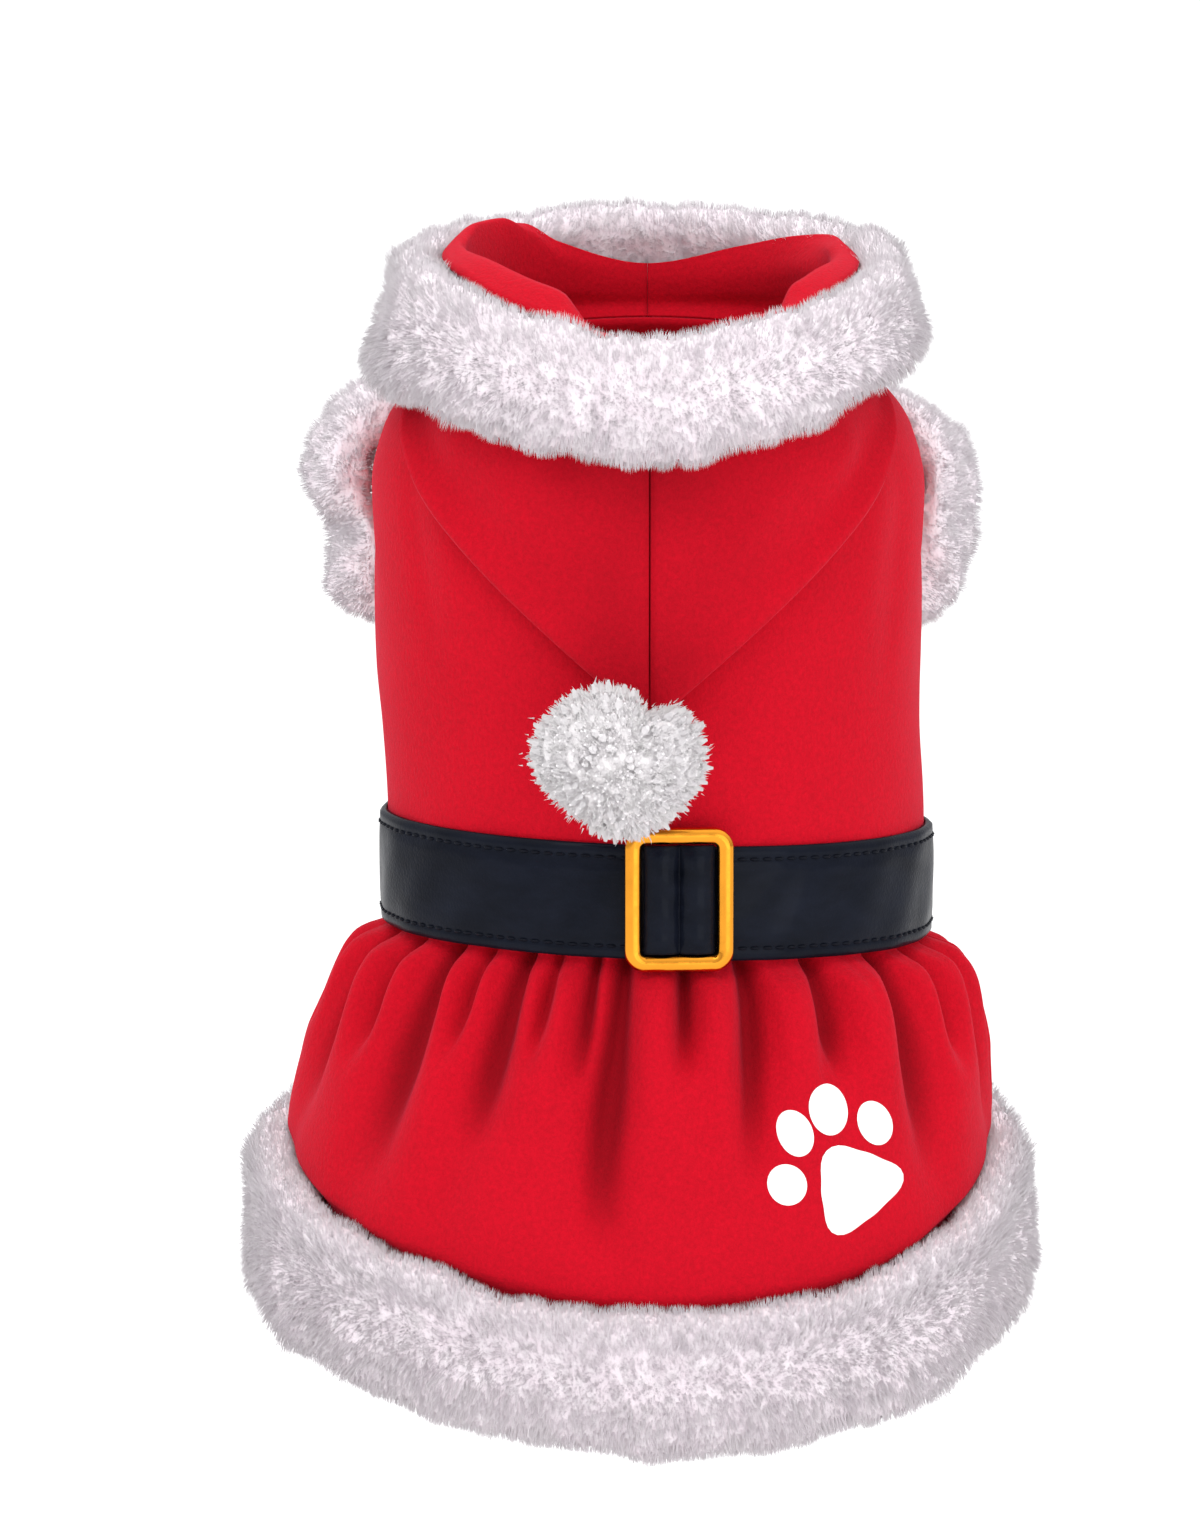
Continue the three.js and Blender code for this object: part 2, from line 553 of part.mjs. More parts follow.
// The buckle's frame lies in its own XY plane, its face towards +Z
function frameGeometry() {
  const bevel = 0.7;
  const shape = roundedRectangle(BUCKLE.width - 2 * bevel, BUCKLE.height - 2 * bevel, BUCKLE.corner - bevel);
  const inset = 2 * BUCKLE.bar - 2 * bevel;
  shape.holes.push(roundedRectangle(BUCKLE.width - inset, BUCKLE.height - inset, 1.8));
  const geometry = new THREE.ExtrudeGeometry(shape, {
    depth: BUCKLE.thickness - 2 * bevel,
    bevelThickness: bevel,
    bevelSize: bevel,
    bevelSegments: 1,
    curveSegments: 3,
  });
  return geometry.translate(0, 0, bevel);
}

// The strap in the buckle's window: a wall with two soft upright rolls
function keeperGeometry() {
  const width = KEEPER.width;
  const height = BUCKLE.height - 2 * BUCKLE.bar - 2 * SEAM;
  const face = steps(-0.5, 0.5, 18).map((across) => ({
    x: across * width,
    y: 0.35 + KEEPER.wall + KEEPER.rise * Math.abs(Math.sin(2 * Math.PI * across)) ** 0.75,
  }));
  const shape = new THREE.Shape();
  face.forEach(({ x, y }, i) => (i ? shape.lineTo(x, y) : shape.moveTo(x, y)));
  [...face].reverse().forEach(({ x, y }) => shape.lineTo(x * 0.93, y - KEEPER.wall));
  shape.closePath();
  const geometry = new THREE.ExtrudeGeometry(shape, { depth: height, bevelEnabled: false });
  return geometry.translate(0, 0, -height / 2).rotateX(Math.PI / 2);
}

// The pompom: yarn locks of four sides, fused at their roots into a core with a short neck to the hood's tip
function pompomGeometry() {
  const middle = new THREE.Vector3(POMPOM.x, POMPOM.y, POMPOM.z);
  const core = new THREE.SphereGeometry(POMPOM.core, 10, 7).scale(1, POMPOM.squash, POMPOM.squash);
  const parts = [solid(core.translate(middle.x, middle.y, middle.z))];
  const golden = Math.PI * (3 - Math.sqrt(5));
  for (let i = 0; i < LOCK.count; i += 1) {
    const up = 1 - (2 * i + 1) / LOCK.count;
    const round = Math.sqrt(1 - up * up);
    const direction = new THREE.Vector3(round * Math.cos(golden * i), round * Math.sin(golden * i), up);
    const uneven = 0.94 + 0.06 * Math.sin(i * 2.399) + 0.03 * Math.sin(i * 7.1);
    const reach = freeReach(middle, direction, POMPOM.radius * uneven);
    if (reach > POMPOM.core + 2) parts.push(lockSolid(middle, direction, reach));
  }
  parts.push(neckSolid(middle));
  return geometryOf(wasm.Manifold.union(parts));
}

// How far a lock may reach before it would touch the bodice, the hood's tip or the belt
function freeReach(middle, direction, wanted) {
  const clear = 0.6;
  let reach = wanted * lerp(1, POMPOM.squash, Math.abs(direction.z));
  const blocked = (length) => {
    const tip = middle.clone().addScaledVector(direction, length);
    const angle = THREE.MathUtils.radToDeg(Math.atan2(tip.x, -tip.y));
    const rho = Math.hypot(tip.x, tip.y) - LOCK.headWidth / 2 - clear;
    if (rho < bodiceRadius(angle, tip.z)) return true;
    const overBelt = tip.z < BELT.centre + BELT.height / 2 + 3;
    if (overBelt && rho < bodiceRadius(angle, tip.z) + BELT.thickness + BUCKLE.thickness + 2) return true;
    const hoodFace = read(HOOD_RISE, 'angle', 'highRho', Math.abs(angle)) + 3;
    return tip.z > hoodFold(Math.abs(angle)) - 4 && rho < hoodFace;
  };
  while (reach > POMPOM.core && blocked(reach)) reach -= 0.5;
  return reach;
}

function lockSolid(middle, direction, reach) {
  const corners = [[1, 0], [0, 1], [-1, 0], [0, -1]];
  const ring = (z, half) => corners.map(([x, y]) => new THREE.Vector3(x * half, y * half, z));
  const points = [
    ...ring(POMPOM.core - 3, LOCK.rootWidth / 2),
    ...ring(reach - LOCK.headLength, LOCK.headWidth / 2),
    new THREE.Vector3(0, 0, reach),
  ];
  const faces = [[0, 2, 1], [0, 3, 2]];
  for (let k = 0; k < 4; k += 1) {
    const next = (k + 1) % 4;
    faces.push([k, next, 4 + next], [k, 4 + next, 4 + k], [4 + k, 4 + next, 8]);
  }
  const turn = new THREE.Quaternion().setFromUnitVectors(new THREE.Vector3(0, 0, 1), direction);
  return solid(closedGeometry(points, faces).applyQuaternion(turn).translate(middle.x, middle.y, middle.z));
}

function neckSolid(middle) {
  const tip = new THREE.Vector3(0, -(bodiceRadius(0, HOOD.tip) + 3), HOOD.tip - 3);
  const run = tip.clone().sub(middle);
  const neck = new THREE.CylinderGeometry(POMPOM.neckRadius, POMPOM.neckRadius + 1, run.length(), 10);
  neck.translate(0, run.length() / 2, 0);
  const turn = new THREE.Quaternion().setFromUnitVectors(new THREE.Vector3(0, 1, 0), run.normalize());
  neck.applyQuaternion(turn);
  return solid(neck.translate(middle.x, middle.y, middle.z));
}

// Materials
function finish(color, roughness, metalness = 0) {
  return new THREE.MeshStandardMaterial({ color, roughness, metalness });
}

const FLEECE = finish(0xd8142a, 0.9);
const PLUSH = finish(0xf1ecee, 1);
const YARN = finish(0xf0e6e6, 1);
const LEATHERETTE = finish(0x1a1d26, 0.4);
const GOLD = finish(0xe0a02c, 0.25, 1);

const dress = new THREE.Group();

function add(name, geometry, material) {
  const mesh = new THREE.Mesh(geometry, material);
  mesh.name = name;
  dress.add(mesh);
  return mesh;
}

const block = bodiceBlock();
const holes = [armholeCutter(-1), armholeCutter(1)];
const gapAngle = 0.13; // half the seam gap, as an angle at the side seams

function bodicePanel(from, to, count) {
  const panel = wall((angle) => bodiceSection(angle, BODICE_ROWS), steps(from, to, count), CLOTH);
  return geometryOf(solid(panel).subtract(holes[0]).subtract(holes[1]));
}

add('back_panel', bodicePanel(-SIDE_SEAM + gapAngle, SIDE_SEAM - gapAngle, 32), FLEECE);
add('belly_panel', bodicePanel(SIDE_SEAM + gapAngle, 360 - SIDE_SEAM - gapAngle, 14), FLEECE);

// The skirt and its hem are in two halves, with side seams at this angle
const skirtSeam = 92;
const skirtGap = 0.11;
const backHalf = [-skirtSeam + skirtGap, skirtSeam - skirtGap];
const bellyHalf = [skirtSeam + skirtGap, 360 - skirtSeam - skirtGap];
add('skirt_back', wall(skirtSection, steps(...backHalf, 62), CLOTH), FLEECE);
add('skirt_belly', wall(skirtSection, steps(...bellyHalf, 44), CLOTH), FLEECE);
add('hem_plush_back', loft(steps(...backHalf, 26).map(hemLoop), false, fanCap), PLUSH);
add('hem_plush_belly', loft(steps(...bellyHalf, 22).map(hemLoop), false, fanCap), PLUSH);

for (const [side, name] of [[-1, 'left'], [1, 'right']]) {
  const seamAngle = 0.13;
  const ends = [seamAngle, 180 - seamAngle].map((angle) => angle * side);
  add('hood_' + name, wall(hoodSection, steps(...ends, 23), CLOTH), FLEECE);
  add('sleeve_' + name, sleeveGeometry(side, block), FLEECE);
  add('cuff_' + name, cuffGeometry(side), PLUSH);
}

add('hood_plush', loft(steps(0, 360, 46).slice(0, -1).map(collarLoop), true, fanCap), PLUSH);
add('belt', beltGeometry(), LEATHERETTE);

const buckle = new THREE.Group();
const buckleAngle = THREE.MathUtils.radToDeg(Math.asin(BUCKLE.x / bodiceRadius(0, -WAIST_DROP)));
const beltFace = bodiceRadius(buckleAngle, -WAIST_DROP) + SEAM + BELT.thickness + 0.4;
buckle.position.copy(place(buckleAngle, beltFace + SEAM, BUCKLE.z));
buckle.rotation.x = Math.PI / 2;
buckle.rotateOnWorldAxis(new THREE.Vector3(0, 0, 1), rad(buckleAngle));
dress.add(buckle);

const frame = new THREE.Mesh(frameGeometry(), GOLD);
frame.name = 'buckle_frame';
const keeper = new THREE.Mesh(keeperGeometry(), LEATHERETTE);
keeper.name = 'buckle_keeper';
buckle.add(frame, keeper);

add('pompom', pompomGeometry(), YARN);

export default dress;
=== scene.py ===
"""A hooded dog dress of red fleece with white plush trim.

It lays cloth, pile, yarn, leatherette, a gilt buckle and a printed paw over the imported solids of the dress.
Sizes in the tables are millimetres and degrees, as in the part's source; meshes are made in metres.
Angle 0 is the middle of the back, +90 is +X, and 180 is the belly.
"""

import math

import bmesh
import bpy
import numpy as np
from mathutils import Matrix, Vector
from mathutils.kdtree import KDTree


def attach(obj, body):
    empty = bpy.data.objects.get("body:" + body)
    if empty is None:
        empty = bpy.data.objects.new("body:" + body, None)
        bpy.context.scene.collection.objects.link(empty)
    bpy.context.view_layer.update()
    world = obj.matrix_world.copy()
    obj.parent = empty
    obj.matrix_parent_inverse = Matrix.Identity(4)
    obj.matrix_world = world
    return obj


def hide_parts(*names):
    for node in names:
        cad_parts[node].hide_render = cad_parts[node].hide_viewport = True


bl_info = {
    "name": "Hooded dog dress",
    "version": (1, 0, 0),
    "blender": (4, 5, 0),
    "location": "View3D > Sidebar > Dress",
    "description": "Makes a plush-trimmed, hooded dog dress round its packed solids",
    "category": "Object",
}

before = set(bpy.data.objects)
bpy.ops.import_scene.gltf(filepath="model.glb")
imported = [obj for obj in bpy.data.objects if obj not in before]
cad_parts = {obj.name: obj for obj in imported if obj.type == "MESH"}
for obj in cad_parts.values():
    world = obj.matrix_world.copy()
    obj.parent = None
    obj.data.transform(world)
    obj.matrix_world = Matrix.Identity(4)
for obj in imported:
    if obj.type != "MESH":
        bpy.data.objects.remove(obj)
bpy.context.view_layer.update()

MM = 0.001
SEAM = 0.3

# The bodice, from the neck seam (at 0) to the waist seam (at 1):
# at, half width, depth to the back, depth to the belly
BODICE_RINGS = np.array([
    (0.0, 44.0, 42.0, 38.0),
    (0.06, 57.5, 53.0, 46.5),
    (0.14, 65.5, 62.5, 56.5),
    (0.25, 69.0, 66.0, 63.5),
    (0.4, 68.6, 65.5, 66.5),
    (0.58, 67.4, 64.0, 65.0),
    (0.72, 67.0, 62.8, 60.5),
    (0.84, 67.0, 62.0, 57.0),
    (1.0, 67.0, 62.0, 57.0),
])

# The skirt, from just below the belt (at 0) to the top of the plush hem (at 1), with the same columns
SKIRT_RINGS = np.array([
    (0.0, 66.6, 61.6, 56.6),
    (0.07, 72.6, 66.6, 60.0),
    (0.2, 78.2, 72.0, 64.0),
    (0.4, 83.0, 77.4, 69.0),
    (0.65, 86.8, 82.0, 74.0),
    (1.0, 88.6, 85.5, 78.0),
])

# Height of the middle of the plush hem: angle, height
HEM_HEIGHTS = np.array([
    (-180, -190.0), (-135, -197.6), (-90, -214.0), (-60, -227.4), (-38, -235.2), (-20, -241.2), (0, -244.7),
    (20, -243.4), (40, -239.3), (60, -230.4), (90, -215.4), (135, -198.2), (180, -190.0),
])

# Gathers below the waist seam: angle, width in degrees, depth, reach as a share of the drop
GATHERS = np.array([
    (-166, 4.2, 2.8, 0.8), (-152, 3.6, 3.2, 0.55), (-137, 4.4, 3.4, 0.9), (-121, 3.4, 2.4, 0.5),
    (-107, 4.6, 3.4, 0.85), (-92, 3.6, 2.6, 0.5), (-78, 4.4, 3.4, 0.8), (-64, 3.6, 2.6, 0.5),
    (-51, 4.4, 3.4, 0.95), (-41, 3.0, 2.2, 0.4), (-31.5, 4.0, 3.8, 0.62), (-23.5, 2.8, 2.2, 0.35),
    (-14.5, 3.0, 2.8, 0.42), (-7.5, 3.4, 4.2, 0.92), (6, 2.8, 3.0, 0.34), (20, 3.8, 4.0, 0.78),
    (37, 4.0, 3.2, 0.72), (56, 4.4, 3.8, 0.88), (69, 3.6, 2.6, 0.5), (83, 4.4, 3.4, 0.82),
    (98, 3.6, 2.8, 0.55), (112, 4.4, 3.2, 0.8), (127, 3.8, 2.6, 0.5), (142, 4.4, 3.4, 0.9),
    (158, 3.6, 2.8, 0.6), (177, 4.2, 3.2, 0.75),
])

# The plush band round the hood's edge: angle, then the ends of its middle line: top rho, z, bottom rho, z
COLLAR_SECTIONS = np.array([
    (-180, 48.0, 26.2, 54.0, 6.0), (-150, 49.0, 25.0, 55.0, 5.0), (-120, 50.8, 23.5, 58.0, 2.0),
    (-90, 54.6, 21.0, 62.2, -0.8), (-68, 61.5, 18.5, 67.0, -2.5), (-45, 69.5, 14.5, 75.0, -3.6),
    (-25, 76.0, 8.0, 80.8, -10.2), (0, 79.0, 1.8, 83.5, -14.8), (25, 76.0, 7.0, 80.8, -8.8),
    (45, 70.0, 12.0, 74.5, 0.4), (68, 62.0, 17.5, 65.4, 6.0), (90, 55.6, 21.8, 60.4, 7.0),
    (120, 51.8, 22.8, 57.4, 7.5), (150, 49.5, 25.0, 55.0, 7.0), (180, 48.0, 26.2, 54.0, 6.0),
])

# The hood's outer layer from the fold up: angle from the back, low rho, z, high rho, z, mid rho, z
HOOD_RISE = np.array([
    (0, 70.6, -66, 73.4, -38, 72.6, -14),
    (20, 70.4, -50, 72.8, -30, 71.0, -11),
    (40, 69.6, -34, 70.4, -20, 65.6, -5),
    (56, 66.8, -20, 62.0, -10, 57.0, 0),
    (70, 61.6, -10.6, 56.0, -4, 52.0, 5),
    (80, 53.0, 0.5, 49.6, 7, 47.4, 14),
    (90, 47.0, 6, 45.0, 13, 43.8, 20),
    (112, 44.4, 8, 41.4, 14, 40.0, 19),
    (140, 41.6, 8, 39.6, 12, 38.8, 16),
    (180, 39.4, 8, 38.8, 11, 38.4, 14),
])

# The crest of the hood's lining and its sewn edge behind: angle, rho, z, edge rho, edge z
HOOD_CRESTS = np.array([
    (-180, 38.6, 16.5, 39.0, 18.5), (-146, 38.6, 20.5, 40.2, 24.4), (-133, 39.8, 27.0, 42.6, 29.2),
    (-119, 41.6, 31.0, 45.8, 29.8), (-104, 43.6, 30.8, 47.0, 28.6), (-90, 45.2, 28.4, 48.4, 27.0),
    (-70, 47.0, 25.6, 54.2, 24.0), (-50, 47.0, 24.6, 61.0, 21.6), (-38, 49.0, 23.4, 65.4, 17.8),
    (-26, 55.6, 20.0, 69.0, 13.6), (-12, 63.6, 12.2, 70.6, 9.8), (0, 68.6, 2.6, 70.8, 7.2),
    (12, 67.8, 5.0, 70.0, 9.4), (24, 64.6, 12.0, 68.2, 13.2), (38, 56.4, 18.8, 65.6, 15.6),
    (52, 49.0, 22.0, 60.6, 19.4), (70, 47.0, 23.4, 55.2, 22.6), (90, 44.6, 25.2, 48.0, 26.6),
    (106, 43.6, 25.0, 47.0, 27.4), (122, 41.0, 22.8, 43.2, 26.4), (144, 39.4, 19.6, 41.0, 23.4),
    (180, 38.6, 16.5, 39.0, 18.5),
])

# Where the cuffs swell or are creased: degrees round the sleeve (0 is right, 90 is down), mm, width
CUFF_SWELLS = {
    "left": ((154, 8.0, 25), (187, -5.0, 13), (228, 2.6, 24), (40, 1.0, 30)),
    "right": ((24, 5.6, 28), (325, -2.4, 24), (120, 1.0, 26), (205, -1.2, 18)),
}

WAIST_DROP = 136
WAIST_ROLL = 1.8
NECK_TILT = 5
CLOTH = 1.6
SIDE_SEAM = 124
SKIRT_SEAM = 92
HEM_HEIGHT = 35
HEM_PLUSH = 13.8
COLLAR_PLUSH = 13.6
BELT_HEIGHT = 28
BELT_CENTRE = -130.5
BELT_THICKNESS = 1.6
ARMHOLE_ANGLE = 140
ARMHOLE_HEIGHT = -36
ARMHOLE_RADIUS = 22
SLEEVE_LENGTH = 19
SLEEVE_START = 24
SLEEVE_END = 20.5
CUFF_LENGTH = 25
CUFF_INNER = 18.5
CUFF_OUTER = 31
CUFF_LAP = 2.1
HOOD_TIP = -85
HOOD_CORNER = -12
HOOD_CORNER_ANGLE = 70
HOOD_LIFT = 1.5
BUCKLE_WIDTH = 26.7
BUCKLE_HEIGHT = 35.4
BUCKLE_BAR = 4.1
BUCKLE_THICKNESS = 3.4
BUCKLE_X = 4.9
BUCKLE_Z = -129.3
# The deepest that a gather goes in
FOLD_LIMIT = 9.0
# Half the opening of a side seam, in degrees
PANEL_GAP = 0.03
SKIRT_GAP = 0.02
# The bodice's mean radius, for arc lengths
BODY_RADIUS = 66
# Share of the pile that stands where the dress hides it
HIDDEN_PILE = 0.35
# Where the belt is sewn along, as a share of half its height
SEWN_LINE = 0.78


# ---------------------------------------------------------------- the dress as functions of angle and height


def smoothstep(x, low, high):
    t = np.clip((x - low) / (high - low), 0, 1)
    return t * t * (3 - 2 * t)


def mix(a, b, share):
    return a + (b - a) * share


def wrapped(angle):
    return (np.asarray(angle, float) + 180) % 360 - 180


def unit(v):
    return v / np.maximum(np.linalg.norm(v, axis=-1, keepdims=True), 1e-9)


def squared(wave, power):
    """A sine or cosine with fuller shoulders, for rounded sections."""
    return np.sign(wave) * np.abs(wave) ** power


def hump(distance, width=1.0):
    """A soft hump: 1 in its middle, fading over that width."""
    return np.exp(-((distance / width) ** 2))


def read(table, where):
    """A table's columns at places between its rows, on smooth curves that stay between neighbouring rows."""
    keys, values = table[:, 0], table[:, 1:]
    runs = np.diff(keys)
    slopes = np.diff(values, axis=0) / runs[:, None]
    tangents = np.zeros_like(values)
    before, after = slopes[:-1], slopes[1:]
    same_way = before * after > 0
    total = np.where(same_way, before + after, 1)
    tangents[1:-1] = np.where(same_way, 2 * before * after / total, 0)
    x = np.clip(np.asarray(where, float), keys[0], keys[-1])
    i = np.clip(np.searchsorted(keys, x, side="right") - 1, 0, len(keys) - 2)
    run = runs[i][..., None]
    t = (x - keys[i])[..., None] / run
    t2, t3 = t * t, t * t * t
    rest = (t3 - 2 * t2 + t) * run * tangents[i] + (t3 - t2) * run * tangents[i + 1]
    return (2 * t3 - 3 * t2 + 1) * values[i] + (3 * t2 - 2 * t3) * values[i + 1] + rest


def lean(z):
    """How far the garment's middle lies to the right of the neck's middle."""
    return 2 * smoothstep(-z, 78, 118) - 4.6 * smoothstep(-z, 146, 215)


def place(angle, rho, z):
    turn = np.radians(angle)
    return np.stack(np.broadcast_arrays(rho * np.sin(turn) + lean(z), -rho * np.cos(turn), z), axis=-1)


def oval_radius(rings, at, angle):
    row = read(rings, at)
    turn = np.radians(angle)
    width = row[..., 0]
    depth = np.where(np.cos(turn) > 0, row[..., 1], row[..., 2])
    return width * depth / np.hypot(depth * np.sin(turn), width * np.cos(turn))


def neck_height(angle):
    return -NECK_TILT * np.cos(np.radians(angle))


def waist_height(angle):
    return -WAIST_DROP - WAIST_ROLL * np.sin(np.radians(angle))


def hem_middle(angle):
    return read(HEM_HEIGHTS, wrapped(angle))[..., 0]


def bodice_radius(angle, z):
    at = (neck_height(angle) - z) / (neck_height(angle) - waist_height(angle))
    return oval_radius(BODICE_RINGS, at, angle)


def gather_depth(angle, at, narrow=1.0):
    """How deep the gathers are at an angle and a share of the skirt's drop."""
    depth = np.zeros(np.broadcast(angle, at).shape)
    for middle, width, deep, reach in GATHERS:
        across = wrapped(angle - middle) / (width * narrow * mix(0.8, 1.6, at))
        along = smoothstep(at, -0.3, 0.12) * (1 - smoothstep(at, reach * 0.35, reach * 1.15))
        depth = depth + deep * along * hump(across)
    return depth


def moved_in(rho, z, distance):
    """Sections, a row each, moved sideways in their own planes towards the inside of the garment."""
    drho, dz = np.gradient(rho, axis=1), np.gradient(z, axis=1)
    run = np.maximum(np.hypot(drho, dz), 1e-9)
    return rho + dz / run * distance, z - drho / run * distance


def finer(points, spans):
    """Centripetal curves through rows of points (row, point, 2), with each span cut into that many."""
    first = 2 * points[:, :1] - points[:, 1:2]
    last = 2 * points[:, -1:] - points[:, -2:-1]
    p = np.concatenate([first, points, last], axis=1)
    gap = np.maximum(np.linalg.norm(np.diff(p, axis=1), axis=2) ** 0.5, 1e-4)[..., None]
    d0, d1, d2 = gap[:, :-2], gap[:, 1:-1], gap[:, 2:]
    a, b, c, d = p[:, :-3], p[:, 1:-2], p[:, 2:-1], p[:, 3:]
    out = ((b - a) / d0 - (c - a) / (d0 + d1) + (c - b) / d1) * d1
    into = ((c - b) / d1 - (d - b) / (d1 + d2) + (d - c) / d2) * d1
    t = np.linspace(0, 1, spans + 1)[None, None, :-1, None]
    b, c, out, into = (x[:, :, None] for x in (b, c, out, into))
    curve = b + out * t + (-3 * b + 3 * c - 2 * out - into) * t**2 + (2 * b - 2 * c + out + into) * t**3
    return np.concatenate([curve.reshape(len(points), -1, 2), points[:, -1:]], axis=1)


def evenly(points, count):
    """Curves through rows of points, each given back as count evenly spaced points."""
    curve = finer(points, 16)
    along = np.cumsum(np.linalg.norm(np.diff(curve, axis=1), axis=2), axis=1)
    along = np.concatenate([np.zeros((len(points), 1)), along], axis=1)
    even = np.linspace(0, 1, count)
    made = [[np.interp(even * s[-1], s, row[:, k]) for k in (0, 1)] for s, row in zip(along, curve)]
    return np.moveaxis(np.array(made), 1, 2)


def hood_fold(away):
    """The lower edge of the dropped hood, by angle from the middle of the back."""
    line = HOOD_TIP + (HOOD_CORNER - HOOD_TIP) * np.minimum(away, HOOD_CORNER_ANGLE) / HOOD_CORNER_ANGLE
    return np.minimum(line + 10 * smoothstep(away, HOOD_CORNER_ANGLE - 4, HOOD_CORNER_ANGLE + 18), -2)


def hood_sections(angle):
    """The 16 points of the hood's section at each angle: from the neck seam down to the fold, then up to the plush."""
    away = np.abs(angle)
    marks = np.concatenate([read(HOOD_RISE, away), read(HOOD_CRESTS, angle)], axis=-1).reshape(-1, 5, 2)
    neck_z, waist_z = neck_height(angle), waist_height(angle)
    reach = np.maximum((neck_z - hood_fold(away) - 1.4) / (neck_z - waist_z), 0.012)
    at = reach[:, None] * np.array([0, 0.1, 0.22, 0.37, 0.62, 1])
    on_body = oval_radius(BODICE_RINGS, at, angle[:, None]), mix(neck_z[:, None], waist_z[:, None], at)
    leg = np.stack(moved_in(*on_body, -(HOOD_LIFT + CLOTH)), axis=-1)
    turn = leg[:, -1:] + (0.7, -1.4)
    start = leg[:, -1:] + (1.6, -1.1)
    dropped = np.concatenate([leg, turn, evenly(np.concatenate([start, marks], axis=1), 9)], axis=1)
    neck = np.stack([oval_radius(BODICE_RINGS, np.zeros_like(angle), angle) - 0.4, neck_z + 0.35], axis=-1)
    upright = evenly(np.concatenate([neck[:, None], marks], axis=1), dropped.shape[1])
    share = smoothstep(away, HOOD_CORNER_ANGLE - 2, HOOD_CORNER_ANGLE + 20)[:, None, None]
    return mix(dropped, upright, share)


def sleeve_matrix(side):
    """Where a sleeve leaves the bodice, and its direction along +Z; side is -1 on the left and 1 on the right."""
    angle = side * ARMHOLE_ANGLE
    root = place(angle, bodice_radius(angle, ARMHOLE_HEIGHT), ARMHOLE_HEIGHT)
    axis = Vector((side * 0.47, 0.86, -0.17 if side < 0 else -0.36)).normalized()
    turn = Vector((0, 0, 1)).rotation_difference(axis).to_matrix()
    return np.array(turn), root


def round_arm(side, turn, radius, z):
    """Places round a foreleg's axis: turn in radians, mm from the axis, mm along it."""
    way, root = sleeve_matrix(side)
    local = np.stack(np.broadcast_arrays(np.cos(turn) * radius, np.sin(turn) * radius, z), axis=-1)
    return local @ way.T + root


# ---------------------------------------------------------------- meshes


def new_object(name, mesh):
    piece = bpy.data.objects.new(name, mesh)
    bpy.context.scene.collection.objects.link(piece)
    return piece


def mesh_of(name, points, faces):
    """A mesh in metres from points in millimetres and an array of equally sided faces."""
    faces = np.asarray(faces, np.int32)
    mesh = bpy.data.meshes.new(name)
    mesh.vertices.add(len(points))
    mesh.vertices.foreach_set("co", (np.asarray(points, float) * MM).astype(np.float32).ravel())
    sides = faces.shape[1]
    mesh.loops.add(faces.size)
    mesh.loops.foreach_set("vertex_index", faces.ravel())
    mesh.polygons.add(len(faces))
    mesh.polygons.foreach_set("loop_start", np.arange(0, faces.size, sides, dtype=np.int32))
    mesh.polygons.foreach_set("use_smooth", np.full(len(faces), True))
    mesh.update(calc_edges=True)
    mesh.validate()
    return mesh


def grid_faces(rows, columns, rows_joined=False, columns_joined=False, first=0):
    """Quads over a grid of points, joined round in either way."""
    r = np.arange(rows if rows_joined else rows - 1)
    c = np.arange(columns if columns_joined else columns - 1)
    r, c = np.meshgrid(r, c, indexing="ij")
    r2, c2 = (r + 1) % rows, (c + 1) % columns
    quads = np.stack([r * columns + c, r2 * columns + c, r2 * columns + c2, r * columns + c2], axis=-1)
    return quads.reshape(-1, 4) + first


def tube_faces(rings, sides, first):
    """Triangles over an open tube of rings of points."""
    faces = []
    for ring in range(first, first + (rings - 1) * sides, sides):
        for k in range(sides):
            a, b = ring + k, ring + (k + 1) % sides
            faces += [(a, b, b + sides), (a, b + sides, a + sides)]
    return faces


def outward(piece):
    """Turns a closed mesh's faces outwards."""
    shape = bmesh.new()
    shape.from_mesh(piece.data)
    bmesh.ops.recalc_face_normals(shape, faces=shape.faces)
    shape.to_mesh(piece.data)
    shape.free()


def walled(name, outer, inner, joined=False):
    """A closed cloth wall between two grids of points (angle, row, 3)."""
    rows, columns = outer.shape[:2]
    count = rows * columns
    faces = [grid_faces(rows, columns, joined), grid_faces(rows, columns, joined, first=count)[:, ::-1]]
    r = np.arange(rows if joined else rows - 1)
    r2 = (r + 1) % rows
    for edge in (0, columns - 1):
        a, b = r * columns + edge, r2 * columns + edge
        faces.append(np.stack([a, b, b + count, a + count], axis=-1))
    if not joined:
        c = np.arange(columns - 1)
        for end in (0, (rows - 1) * columns):
            faces.append(np.stack([end + c, end + c + 1, end + c + 1 + count, end + c + count], axis=-1))
    points = np.concatenate([outer.reshape(-1, 3), inner.reshape(-1, 3)])
    piece = new_object(name, mesh_of(name, points, np.concatenate(faces)))
    outward(piece)
    return piece


def note(mesh, name, values):
    """Keeps a value at each point, for the finish to use."""
    layer = mesh.attributes.new(name, "FLOAT", "POINT")
    layer.data.foreach_set("value", np.asarray(values, np.float32).ravel())


def mark_painted_shade(mesh, painted_shade):
    """Notes on the outer face how far each point lies in a crease or hollow, for the painted shade that darkens it
    there.
    """
    note(mesh, "painted_shade", np.pad(painted_shade.ravel(), (0, len(mesh.vertices) - painted_shade.size)))


